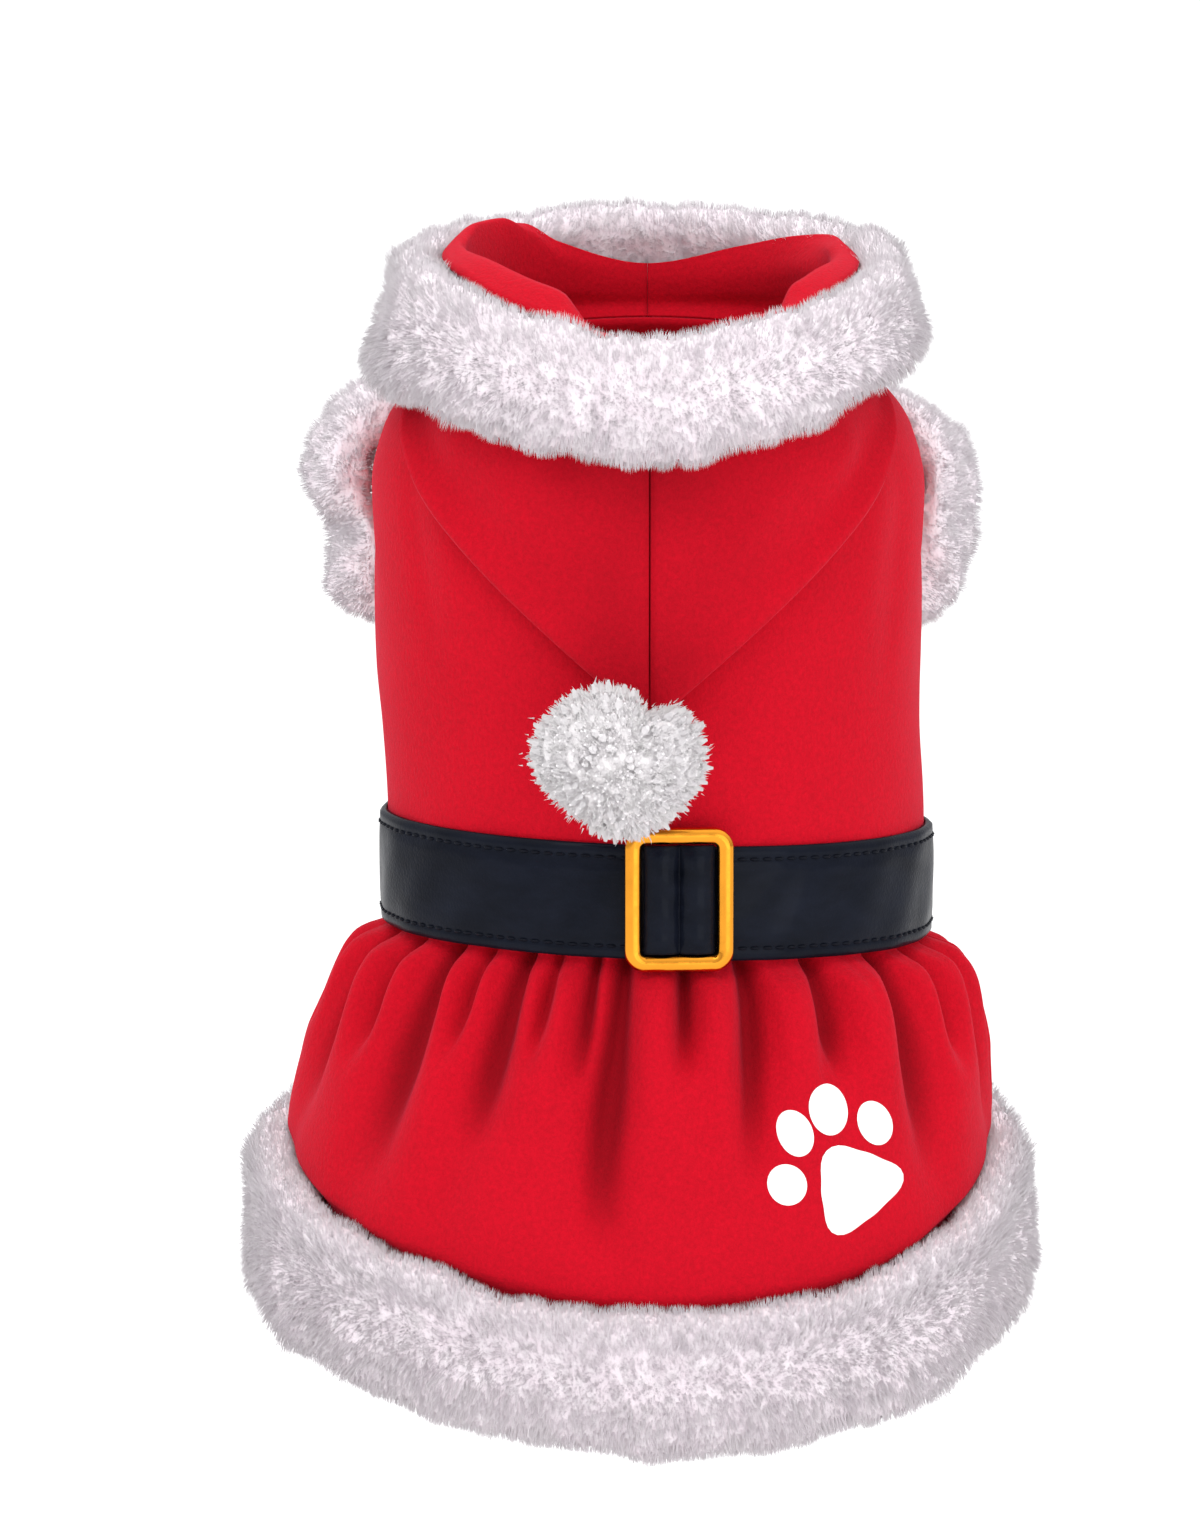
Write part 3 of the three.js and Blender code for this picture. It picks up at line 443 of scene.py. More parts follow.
def normals_of(grid, middle, joined_rows):
    """Unit normals of a band's grid of points, by central differences, away from its middle line."""
    along = np.roll(grid, -1, 0) - np.roll(grid, 1, 0) if joined_rows else np.gradient(grid, axis=0)
    normals = unit(np.cross(along, np.roll(grid, -1, 1) - np.roll(grid, 1, 1)))
    return -normals if ((grid - middle) * normals).sum() < 0 else normals


def waves(points, seed, size, count=5):
    """Smooth, seeded unevenness between about -1 and 1, with bumps of that size in mm."""
    rng = np.random.default_rng(seed)
    total = np.zeros(points.shape[:-1])
    for _ in range(count):
        way = rng.normal(size=3)
        way /= np.linalg.norm(way)
        pitch = size * rng.uniform(0.7, 1.5)
        total = total + np.sin(points @ way * (2 * math.pi / pitch) + rng.uniform(0, 2 * math.pi))
    return total / math.sqrt(count)


def cut_away(piece, cutter):
    """Cuts a closed tool out of a closed piece, and removes the tool."""
    cut = piece.modifiers.new("armhole", "BOOLEAN")
    cut.operation = "DIFFERENCE"
    cut.solver = "EXACT"
    cut.object = cutter
    bpy.context.view_layer.update()
    made = bpy.data.meshes.new_from_object(piece.evaluated_get(bpy.context.evaluated_depsgraph_get()))
    piece.modifiers.clear()
    piece.data = made
    made.polygons.foreach_set("use_smooth", np.full(len(made.polygons), True))
    bpy.data.objects.remove(cutter)


# ---------------------------------------------------------------- pile


def scatter(grid, normals, joined_rows, count, rng, weight):
    """Random places over a band's grid of points, with their normals; weight thins them by row and column."""
    rows, columns = grid.shape[:2]
    cells = np.meshgrid(np.arange(rows if joined_rows else rows - 1), np.arange(columns), indexing="ij")
    r, c = (x.ravel() for x in cells)
    r2, c2 = (r + 1) % rows, (c + 1) % columns
    share = np.linalg.norm(np.cross(grid[r2, c] - grid[r, c], grid[r, c2] - grid[r, c]), axis=-1) * weight(r, c)
    cell = rng.choice(len(share), count, p=share / share.sum())
    u, v = rng.random((2, count, 1))
    r, r2, c, c2 = (x[cell] for x in (r, r2, c, c2))

    def blend(field):
        return mix(mix(field[r, c], field[r2, c], u), mix(field[r, c2], field[r2, c2], u), v)

    return blend(grid), unit(blend(normals))


def strands(name, roots, normals, combs, lengths, width, rng, clump, clumping=0.3):
    """Pile as one mesh of slim three-sided spikes, whose tips gather in tufts about clump mm apart."""
    count = len(roots)
    wild = rng.normal(size=(count, 3))
    tip = roots + unit(normals + combs + 0.2 * wild) * lengths[:, None]
    leaders = rng.choice(count, max(int(count / 24), 1), replace=False)
    tree = KDTree(len(leaders))
    for i, leader in enumerate(leaders):
        tree.insert(roots[leader], i)
    tree.balance()
    found = np.array([tree.find(p)[1] for p in roots])
    target = tip[leaders][found] + rng.normal(size=(count, 3)) * 0.4
    near = hump(np.linalg.norm(target - tip, axis=1), clump * 1.6)[:, None]
    tip = mix(tip, target, clumping * near)
    way = unit(tip - roots)
    across = unit(np.cross(way, wild)) * (width / 2) * rng.uniform(0.7, 1.3, (count, 1))
    other = np.cross(way, across)
    corners = [roots + across * math.cos(t) + other * math.sin(t) for t in (0, math.tau / 3, math.tau * 2 / 3)]
    points = np.stack([*corners, tip], axis=1)
    first = np.arange(count)[:, None] * 4
    faces = np.concatenate([first + (0, 1, 3), first + (1, 2, 3), first + (2, 0, 3)])
    mesh = mesh_of(name, points.reshape(-1, 3), faces)
    # 0 at the roots and 1 at the tips, for painted shade along each lock
    note(mesh, "pile", np.tile((0, 0, 0, 1), count))
    note(mesh, "tuft", np.repeat(rng.random(len(leaders))[found], 4))
    lit = unit(normals + way * 0.22 + 0.03 * wild)
    mesh.normals_split_custom_set_from_vertices(np.repeat(lit, 4, axis=0))
    return new_object(name, mesh)


# ---------------------------------------------------------------- materials


class Finish:
    """A procedural material being built: nodes by short names over one principled surface."""

    def __init__(self, name, **surface):
        self.material = bpy.data.materials.new(name)
        self.material.use_nodes = True
        self.nodes = self.material.node_tree.nodes
        self.links = self.material.node_tree.links
        self.surface = self.nodes["Principled BSDF"]
        for socket, value in surface.items():
            self.surface.inputs[socket.replace("_", " ")].default_value = value
        self.place = self.nodes.new("ShaderNodeTexCoord").outputs["Object"]

    def join(self, output, socket):
        self.links.new(output, socket)

    def noise(self, scale, detail, roughness=0.55, stretch=None):
        node = self.nodes.new("ShaderNodeTexNoise")
        node.inputs["Scale"].default_value = scale
        node.inputs["Detail"].default_value = detail
        node.inputs["Roughness"].default_value = roughness
        source = self.place
        if stretch:
            mapping = self.nodes.new("ShaderNodeMapping")
            mapping.inputs["Scale"].default_value = stretch
            self.join(self.place, mapping.inputs["Vector"])
            source = mapping.outputs["Vector"]
        self.join(source, node.inputs["Vector"])
        return node.outputs["Fac"]

    def cells(self, scale):
        node = self.nodes.new("ShaderNodeTexVoronoi")
        node.inputs["Scale"].default_value = scale
        self.join(self.place, node.inputs["Vector"])
        return node.outputs["Distance"]

    def attribute(self, name):
        node = self.nodes.new("ShaderNodeAttribute")
        node.attribute_name = name
        return node.outputs["Fac"]

    def ramp(self, value, stops):
        node = self.nodes.new("ShaderNodeValToRGB")
        ramp = node.color_ramp
        while len(ramp.elements) < len(stops):
            ramp.elements.new(0.5)
        for element, (position, colour) in zip(ramp.elements, stops):
            element.position = position
            element.color = (*colour, 1) if len(colour) == 3 else colour
        self.join(value, node.inputs["Fac"])
        return node.outputs["Color"]

    def scaled(self, value, low, high):
        node = self.nodes.new("ShaderNodeMapRange")
        node.inputs["To Min"].default_value = low
        node.inputs["To Max"].default_value = high
        self.join(value, node.inputs["Value"])
        return node.outputs["Result"]

    def blend(self, a, b, share, way="MIX"):
        node = self.nodes.new("ShaderNodeMix")
        node.data_type = "RGBA"
        node.blend_type = way
        for value, socket in ((share, node.inputs[0]), (a, node.inputs[6]), (b, node.inputs[7])):
            if isinstance(value, (int, float)):
                socket.default_value = value
            elif isinstance(value, tuple):
                socket.default_value = (*value, 1)
            else:
                self.join(value, socket)
        return node.outputs[2]

    def sum(self, a, b, weight):
        node = self.nodes.new("ShaderNodeMath")
        node.operation = "MULTIPLY_ADD"
        self.join(b, node.inputs[0])
        node.inputs[1].default_value = weight
        self.join(a, node.inputs[2])
        return node.outputs[0]

    def bump(self, height, distance, strength):
        node = self.nodes.new("ShaderNodeBump")
        node.inputs["Distance"].default_value = distance
        node.inputs["Strength"].default_value = strength
        self.join(height, node.inputs["Height"])
        self.join(node.outputs["Normal"], self.surface.inputs["Normal"])


def colours():
    return bpy.context.scene.dress_colours


def sizes():
    return bpy.context.scene.dress_sizes


def shaded(colour, times):
    return tuple(channel * times for channel in colour)


def fleece():
    """Short, brushed polyester fleece: a soft nap over a fine knit, paler where it is seen along its surface, with
    painted shade darkening it in creases and hollows.
    """
    if "fleece_nap" in bpy.data.materials:
        return bpy.data.materials["fleece_nap"]
    red = tuple(colours().fleece)
    f = Finish("fleece_nap", Roughness=0.85, Sheen_Weight=0.14, Sheen_Roughness=0.4)
    f.surface.inputs["Sheen Tint"].default_value = (1.0, 0.2, 0.35, 1)
    f.surface.inputs["Specular IOR Level"].default_value = 0.08
    patches = f.noise(45, 2)
    nap = f.noise(900, 4, 0.7)
    base = f.ramp(patches, [(0.3, shaded(red, 0.93)), (0.7, shaded(red, 1.05))])
    fibres = f.ramp(nap, [(0.3, shaded(red, 0.70)), (0.7, shaded(red, 1.18))])
    unshaded_nap = f.blend(base, fibres, 0.55)
    # painted shade: the colour darkens towards a deep red by the value each point carries in creases and hollows
    f.join(f.blend(unshaded_nap, shaded(red, 0.22), f.attribute("painted_shade")), f.surface.inputs["Base Color"])
    f.join(f.scaled(nap, 0.75, 0.95), f.surface.inputs["Roughness"])
    knit = f.noise(1600, 2, 0.5, stretch=(1, 1, 0.45))
    f.bump(f.sum(nap, knit, 0.6), 0.00035, 0.7)
    return f.material


def plush(name, white, shade):
    """White pile: tips near white, with painted shade that turns it greyer and faintly pink towards the roots."""
    if name in bpy.data.materials:
        return bpy.data.materials[name]
    f = Finish(name, Roughness=0.9, Sheen_Weight=0.25, Sheen_Roughness=0.5)
    f.surface.inputs["Specular IOR Level"].default_value = 0.1
    # painted shade: the shaded colour at the roots blends to white at the tips
    depth = f.ramp(f.attribute("pile"), [(0.0, shade), (0.45, mix3(shade, white, 0.75)), (1.0, white)])
    tuft = f.ramp(f.attribute("tuft"), [(0.0, (0.95, 0.93, 0.95)), (1.0, (1.0, 1.0, 1.0))])
    colour = f.blend(depth, tuft, 1.0, "MULTIPLY")
    f.join(colour, f.surface.inputs["Base Color"])
    f.join(f.scaled(f.noise(600, 2), 0.8, 1.0), f.surface.inputs["Roughness"])
    through, both = f.nodes.new("ShaderNodeBsdfTranslucent"), f.nodes.new("ShaderNodeMixShader")
    f.join(colour, through.inputs["Color"])
    both.inputs[0].default_value = 0.1
    f.join(f.surface.outputs[0], both.inputs[1])
    f.join(through.outputs[0], both.inputs[2])
    f.join(both.outputs[0], f.nodes["Material Output"].inputs["Surface"])
    return f.material


def mix3(a, b, share):
    return tuple(x + (y - x) * share for x, y in zip(a, b))


def plush_ground():
    """The backing that the pile stands on, with painted shade between its tufts."""
    if "plush_backing" in bpy.data.materials:
        return bpy.data.materials["plush_backing"]
    white, shade = tuple(colours().plush), tuple(colours().plush_shade)
    f = Finish("plush_backing", Roughness=1.0, Sheen_Weight=0.2, Sheen_Roughness=0.5)
    f.surface.inputs["Specular IOR Level"].default_value = 0.05
    tufts = f.cells(260)
    # painted shade: white in each tuft's middle, turning to the shaded colour where tufts meet
    f.join(f.ramp(tufts, [(0.0, white), (0.8, shade)]), f.surface.inputs["Base Color"])
    f.bump(f.sum(tufts, f.noise(1200, 3), -0.5), 0.0005, 0.5)
    return f.material


def leatherette():
    """Coated black cloth: a faint grain, soft scuffs, and gloss that varies along it."""
    if "coated_cloth" in bpy.data.materials:
        return bpy.data.materials["coated_cloth"]
    black = tuple(colours().leatherette)
    f = Finish("coated_cloth", Roughness=0.35, Coat_Weight=0.08, Coat_Roughness=0.1)
    f.surface.inputs["Specular IOR Level"].default_value = 0.03
    f.surface.inputs["Specular Tint"].default_value = (0.75, 0.85, 1.0, 1)
    wear = f.noise(60, 4, 0.6, stretch=(1, 1, 2.2))
    f.join(f.ramp(wear, [(0.35, black), (0.75, shaded(black, 2.0))]), f.surface.inputs["Base Color"])
    f.join(f.scaled(f.noise(160, 4, 0.65), 0.24, 0.48), f.surface.inputs["Roughness"])
    grain = f.cells(1400)
    f.bump(f.sum(grain, f.noise(240, 3), 1.4), 0.00012, 0.5)
    return f.material


def thread():
    """Polished sewing thread, twisted."""
    if "thread" in bpy.data.materials:
        return bpy.data.materials["thread"]
    black = tuple(colours().leatherette)
    f = Finish("thread", Roughness=0.5)
    f.surface.inputs["Specular IOR Level"].default_value = 0.08
    twist = f.noise(3200, 1, stretch=(1, 1, 3))
    f.join(f.ramp(twist, [(0.3, shaded(black, 0.7)), (0.7, shaded(black, 1.6))]), f.surface.inputs["Base Color"])
    f.bump(twist, 0.0001, 0.5)
    return f.material


def gilt():
    """Gold-plated plastic, polished, with faint handling marks."""
    if "gilt" in bpy.data.materials:
        return bpy.data.materials["gilt"]
    gold = tuple(colours().gold)
    f = Finish("gilt", Metallic=1.0, Roughness=0.16)
    marks = f.noise(300, 4, 0.6)
    f.join(f.ramp(f.noise(90, 2), [(0.3, shaded(gold, 0.9)), (0.7, gold)]), f.surface.inputs["Base Color"])
    f.join(f.scaled(marks, 0.10, 0.24), f.surface.inputs["Roughness"])
    f.bump(f.sum(marks, f.noise(110, 1), 4.0), 0.00009, 0.5)
    return f.material


def ink():
    """Flat white print that lies on the fleece's nap."""
    if "print_white" in bpy.data.materials:
        return bpy.data.materials["print_white"]
    f = Finish("print_white", Roughness=0.7)
    nap = f.noise(1100, 3, 0.6)
    f.join(f.ramp(nap, [(0.3, (0.88, 0.87, 0.87)), (0.6, (0.97, 0.97, 0.97))]), f.surface.inputs["Base Color"])
    f.bump(nap, 0.00012, 0.3)
    return f.material


def dressed(piece, material, slot, *nodes):
    """Gives a piece its finish and its body, and hides the solids that it stands for."""
    piece.data.materials.clear()
    piece.data.materials.append(material)
    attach(piece, "root")
    if nodes:
        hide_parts(*nodes)
    return piece


# ---------------------------------------------------------------- settings


class DressColours(bpy.types.PropertyGroup):
    """Colours of the cloth, pile, belt, buckle and floor."""

    fleece: bpy.props.FloatVectorProperty(
        name="Fleece", description="The red cloth", subtype="COLOR", min=0, max=1, default=(0.52, 0.003, 0.014))
    plush: bpy.props.FloatVectorProperty(
        name="Plush", description="The tips of the white pile", subtype="COLOR", min=0, max=1,
        default=(0.86, 0.805, 0.835))
    plush_shade: bpy.props.FloatVectorProperty(
        name="Plush, shaded", description="The roots of the white pile", subtype="COLOR", min=0, max=1,
        default=(0.85, 0.76, 0.81))
    leatherette: bpy.props.FloatVectorProperty(
        name="Leatherette", description="The belt's coated face", subtype="COLOR", min=0, max=1,
        default=(0.004, 0.005, 0.009))
    gold: bpy.props.FloatVectorProperty(
        name="Gold", description="The buckle's plating", subtype="COLOR", min=0, max=1, default=(0.76, 0.30, 0.026))
    floor: bpy.props.FloatVectorProperty(
        name="Floor", description="The studio floor", subtype="COLOR", min=0, max=1, default=(0.95, 0.95, 0.95))


class DressSizes(bpy.types.PropertyGroup):
    """Sizes of the pile, the stitching and the folds."""

    pile_length: bpy.props.FloatProperty(
        name="Pile", description="Length of the plush's pile", subtype="DISTANCE", default=0.0029, min=0.001)
    pile_width: bpy.props.FloatProperty(
        name="Pile width", description="Width of one lock of pile", subtype="DISTANCE", default=0.00030, min=0.0001)
    stitch: bpy.props.FloatProperty(
        name="Stitch", description="Length of a stitch on the belt", subtype="DISTANCE", default=0.0024, min=0.0005)
    stitch_pitch: bpy.props.FloatProperty(
        name="Stitch pitch", description="From stitch to stitch", subtype="DISTANCE", default=0.0033, min=0.001)
    gather: bpy.props.FloatProperty(
        name="Gathers", description="Extra depth of the gathers over the solid's", subtype="FACTOR", default=1.9,
        min=0, max=2)
    print_size: bpy.props.FloatProperty(
        name="Print", description="Width of the printed paw", subtype="DISTANCE", default=0.033, min=0.005)


# ---------------------------------------------------------------- makers


class DressCamera(bpy.types.Operator):
    """Makes the camera that sees the dress from behind, a little from above"""

    bl_idname = "dress.camera"
    bl_label = "Camera"

    def execute(self, context):
        look = Vector((-0.012, 0, -0.1026))
        tilt = math.radians(7)
        away = 2.2
        camera = bpy.data.cameras.new("camera")
        camera.sensor_width = 36
        camera.lens = 36 * away / 0.37875
        camera.clip_start, camera.clip_end = 0.05, 100
        holder = new_object("camera", camera)
        holder.location = look + Vector((0, -math.cos(tilt), math.sin(tilt))) * away
        holder.rotation_euler = (math.pi / 2 - tilt, 0, 0)
        context.scene.camera = holder
        return {"FINISHED"}


# Soft creases of the bodice: from angle, z to angle, z, width in mm, height in mm
BODICE_CREASES = (
    (-52, -20, -44, -60, 5.0, 0.7),
    (-60, -28, -52, -70, 4.0, -0.6),
    (58, -24, 50, -66, 5.0, 0.6),
    (66, -30, 60, -80, 5.0, -0.7),
    (-98, -30, -84, -62, 7.0, -1.0),
    (-104, -44, -92, -84, 6.0, 0.8),
    (98, -30, 84, -62, 7.0, -1.0),
    (104, -44, 90, -88, 6.0, 0.8),
    (-30, -104, -60, -114, 7.0, 0.5),
    (28, -106, 62, -116, 7.0, 0.5),
    (150, -60, 170, -100, 7.0, -0.8),
    (-150, -60, -172, -96, 7.0, -0.8),
    (165, -14, 195, -22, 6.0, -0.8),
    (140, -70, 138, -112, 6.0, 0.7),
    (-140, -70, -138, -110, 6.0, 0.7),
)


def creased(angle, z, creases, radius):
    """Height of listed soft creases at places of a surface of about that radius."""
    height = np.zeros(np.broadcast(angle, z).shape)
    for a0, z0, a1, z1, width, high in creases:
        arc = math.radians(1) * radius
        px, pz = wrapped(angle - a0) * arc, z - z0
        dx, dz = (a1 - a0) * arc, z1 - z0
        long = math.hypot(dx, dz)
        t = (px * dx + pz * dz) / long**2
        off = np.abs(px * dz - pz * dx) / long
        ends = smoothstep(t, -0.25, 0.3) * (1 - smoothstep(t, 0.7, 1.25))
        height = height + high * ends * hump(off, width)
    return height


def from_seams(angle, seam):
    """Degrees to the nearer of two side seams."""
    return np.minimum(np.abs(wrapped(angle - seam)), np.abs(wrapped(angle + seam)))


def bodice_panel(name, low, high, count):
    """One panel, with a sunk seam at each side and both armholes cut."""
    a, at = np.linspace(low, high, count)[:, None], np.linspace(0, 1, 62)[None, :] ** 1.15
    z = mix(neck_height(a), waist_height(a), at)
    seam = from_seams(a, SIDE_SEAM)
    relief = creased(a, z, BODICE_CREASES, BODY_RADIUS) - 0.8 * hump(seam, 0.9) + 0.35 * hump(seam - 2.6, 1.2)
    rho = oval_radius(BODICE_RINGS, at, a) + relief
    piece = walled(name, place(a, rho, z), place(a, *moved_in(rho, z, CLOTH)))
    for side in (-1, 1):
        turns = np.radians(np.arange(0, 360, 5))
        ends = np.concatenate([round_arm(side, turns, ARMHOLE_RADIUS, end) for end in (-30, 30)])
        n = len(turns)
        tool = new_object("armhole_tool", bpy.data.meshes.new("armhole_tool"))
        sides = [(i, (i + 1) % n, n + (i + 1) % n, n + i) for i in range(n)]
        tool.data.from_pydata((ends * MM).tolist(), [], [*sides, tuple(range(n))[::-1], tuple(range(n, 2 * n))])
        outward(tool)
        cut_away(piece, tool)
    return piece


class DressBodice(bpy.types.Operator):
    """Sews the back panel and the belly panel, with their armholes"""

    bl_idname = "dress.bodice"
    bl_label = "Bodice"

    def execute(self, context):
        edge = SIDE_SEAM - PANEL_GAP
        back = bodice_panel("bodice_back", -edge, edge, 130)
        dressed(back, fleece(), "fleece", "back_panel")
        edge = SIDE_SEAM + PANEL_GAP
        belly = bodice_panel("bodice_belly", edge, 360 - edge, 64)
        dressed(belly, fleece(), "fleece", "belly_panel")
        return {"FINISHED"}


def sleeve_piece(name, side):
    """A short tube that starts at the bodice's face and ends in the cuff."""
    turns = np.radians(np.arange(0, 360, 4))
    low, high = np.full(len(turns), -26.0), np.full(len(turns), 12.0)
    for _ in range(30):
        z = (low + high) / 2
        p = round_arm(side, turns, SLEEVE_START, z)
        angle = np.degrees(np.arctan2(p[:, 0], -p[:, 1]))
        inside = np.hypot(p[:, 0], p[:, 1]) < bodice_radius(angle, p[:, 2]) + 0.7
        low, high = np.where(inside, z, low), np.where(inside, high, z)
    rows = np.linspace(0, 1, 22)
    z = mix(high[:, None], SLEEVE_LENGTH, rows[None, :])
    radius = mix(SLEEVE_START, SLEEVE_END, smoothstep(z, -4, SLEEVE_LENGTH))
    t = turns[:, None]
    folds = 0.5 * np.sin(3 * t + side + z * 0.12) + 0.35 * np.sin(7 * t + 2 * side - z * 0.2)
    radius = radius + folds * smoothstep(rows, 0.1, 0.5) * (1 - smoothstep(rows, 0.75, 1.0))
    outer, inner = (round_arm(side, t, r, z) for r in (radius, radius - CLOTH))
    return walled(name, outer, inner, joined=True)


def cuff_grid(side, shrink):
    """The cuff's soft ring, a little inside its solid, as points by (turn round the arm, turn round its section)."""
    around = np.radians(np.arange(0, 360, 3))[:, None]
    turn = np.radians(np.arange(0, 360, 10))[None, :]
    puff = np.zeros((around.size, 1))
    for at, by, width in CUFF_SWELLS["left" if side < 0 else "right"]:
        away = (around - math.radians(at) + math.pi) % (2 * math.pi) - math.pi
        puff = puff + by * hump(away, math.radians(width))
    middle, half = (CUFF_INNER + CUFF_OUTER) / 2, (CUFF_OUTER - CUFF_INNER) / 2 - shrink
    out, up = np.sin(turn), np.cos(turn)
    z = SLEEVE_LENGTH + SEAM - CUFF_LAP + CUFF_LENGTH / 2 + (CUFF_LENGTH / 2 - shrink) * squared(up, 0.8)
    radius = middle + half * squared(out, 0.8) + np.where(out > 0, puff * out, 0)
    grid = round_arm(side, around, radius, z)
    centre = round_arm(side, around, middle, SLEEVE_LENGTH + CUFF_LENGTH / 2)
    return grid + normals_of(grid, centre, True) * (0.5 * waves(grid, 11 + side, 13))[..., None]


class DressSleeves(bpy.types.Operator):
    """Makes both short sleeves"""

    bl_idname = "dress.sleeves"
    bl_label = "Sleeves"

    def execute(self, context):
        for side, name in ((-1, "left"), (1, "right")):
            sleeve = sleeve_piece(f"sleeve_{name}_cloth", side)
            dressed(sleeve, fleece(), "fleece", f"sleeve_{name}")
        return {"FINISHED"}


# Soft creases of the hood's outer layer, in the same way
HOOD_CREASES = (
    (-6, -24, -14, -58, 6.0, -1.1),
    (-24, -20, -10, -38, 5.0, 0.7),
    (-30, -30, -42, -24, 4.0, -0.6),
    (8, -22, 12, -44, 6.0, -0.8),
    (14, -50, 26, -30, 5.0, 0.8),
    (34, -26, 46, -18, 4.0, 0.7),
)


def hood_half(name, side):
    """Half of the hood: its sections, with a sunk centre seam, soft unevenness and creases on the outer face."""
    near_seam = (0.12, 0.35, 0.7, 1.1, 1.6, 2.2, 3.0, 4.0)
    angles = side * np.concatenate([near_seam, np.arange(5.2, 178.5, 1.35), [179.96]])
    a, away = angles[:, None], np.abs(angles)[:, None]
    rho, z = np.moveaxis(finer(hood_sections(angles), 4), -1, 0)
    out_rho, out_z = moved_in(rho, z, CLOTH)
    rows = np.linspace(0, 1, rho.shape[1])[None, :]
    out_rho = out_rho - 1.1 * hump(away * 1.25, 1.1) * smoothstep(rows, 0.38, 0.45)
    soft = waves(place(a, out_rho, out_z), 5, 34) * 0.35 + creased(a, out_z, HOOD_CREASES, 71)
    out_rho = out_rho + soft * smoothstep(rows, 0.45, 0.6) * (1 - smoothstep(away, 60, 90))
    outer = place(a, out_rho, out_z)
    half = walled(name, outer, place(a, rho, z))
    # painted shade on the hood's rising face: strongest along the centre seam, fading to the sides, made patchy by the
    # drift
    drift = 0.75 + 0.25 * waves(outer, 9, 26)
    mark_painted_shade(half.data, 0.3 * drift * hump(away, 20) * smoothstep(rows, 0.42, 0.52))
    return half


class DressHood(bpy.types.Operator):
    """Sews the two halves of the dropped, pointed hood"""

    bl_idname = "dress.hood"
    bl_label = "Hood"

    def execute(self, context):
        for side, name in ((-1, "left"), (1, "right")):
            half = hood_half(f"hood_{name}_cloth", side)
            dressed(half, fleece(), "fleece", f"hood_{name}")
        return {"FINISHED"}


# Long, soft valleys of the skirt: angle at the belt, angle at the hem, width in degrees, depth
SKIRT_VALLEYS = (
    (-9, -4, 4.5, 2.6), (-31, -36, 5.0, 2.4), (-50, -57, 5.5, 2.4), (-77, -82, 5.0, 2.2), (7, 13, 4.0, 1.4),
    (56, 60, 5.0, 2.2), (82, 85, 5.0, 2.2), (-106, -109, 5.5, 2.2), (-138, -140, 6.0, 2.4), (-165, -163, 5.0, 2.0),
    (112, 115, 5.5, 2.2), (141, 139, 6.0, 2.4), (176, 172, 5.0, 2.0),
)


def skirt_rho(angle, at):
    """The skirt's outer radius with its folds, at an angle and a share of its drop."""
    rho = oval_radius(SKIRT_RINGS, at, angle)
    folds = gather_depth(angle, at) * 1.5
    sharp = gather_depth(angle, at, 0.5) * sizes().gather * (1 - smoothstep(at, 0.25, 1.0))
    for top, low, width, deep in SKIRT_VALLEYS:
        reach = smoothstep(at, 0.1, 0.45) * (1 - 0.6 * smoothstep(at, 0.75, 1))
        folds = folds + deep * reach * hump(wrapped(angle - mix(top, low, at)), width)
    calm = 1 - 0.85 * hump(wrapped(angle - 36), 15) * smoothstep(at, 0.22, 0.4)
    puffs = 3.0 * smoothstep(at, 0.0, 0.1) * (1 - smoothstep(at, 0.15, 0.7)) * (1 - np.minimum(folds / 2, 1))
    turn = np.radians(angle)
    small = 0.5 * np.sin(turn * 61 + 1.3) + 0.5 * np.sin(turn * 43 + 0.4) + 0.4 * np.sin(turn * 89 + 2.0)
    small = small * 0.55 * smoothstep(at, -0.05, 0.03) * (1 - smoothstep(at, 0.05, 0.26))
    sway = 0.8 * np.sin(turn * 7 + 0.8) * smoothstep(at, 0.3, 0.9)
    creases = FOLD_LIMIT * np.tanh((folds + sharp) * calm / FOLD_LIMIT)
    return rho - creases + puffs + small + sway * 0.6


def skirt_heights(angle, at):
    """Heights on the skirt from just below the belt to the plush."""
    below = BELT_CENTRE - BELT_HEIGHT / 2 - WAIST_ROLL * np.sin(np.radians(angle)) - SEAM
    bottom = hem_middle(angle) + HEM_HEIGHT / 2 + 2
    return mix(below, bottom, at)


def skirt_half(name, low, high, count):
    """Half of the skirt: three rows up to the waist seam, the gathered drop, and three tucked behind the plush."""
    angles = np.linspace(low, high, count)[:, None]
    at = np.linspace(0, 1, 54)[None, :] ** 1.1
    rho, z = skirt_rho(angles, at), skirt_heights(angles, at)
    depth = oval_radius(SKIRT_RINGS, at, angles) - rho
    # painted shade, deeper where the gathers sink in, fading out towards the hem
    painted_shade = np.pad(smoothstep(depth, 1.6, 7.6) * (1 - smoothstep(at, 0.7, 1)) * 0.62, ((0, 0), (3, 3)))
    rho = rho - 0.9 * hump(from_seams(angles, SKIRT_SEAM), 0.7)
    top_rho = np.repeat(oval_radius(SKIRT_RINGS, 0 * angles, angles), 3, axis=1)
    top_z = mix(waist_height(angles) - SEAM, z[:, :1], np.array((0, 0.4, 0.8)))
    rho = np.concatenate([top_rho, rho, rho[:, -1:] - (2.4, 5.3, 6.4)], axis=1)
    z = np.concatenate([top_z, z, z[:, -1:] - (2.6, 6.2, 14)], axis=1)
    half = walled(name, place(angles, rho, z), place(angles, *moved_in(rho, z, CLOTH)))
    mark_painted_shade(half.data, painted_shade)
    return half


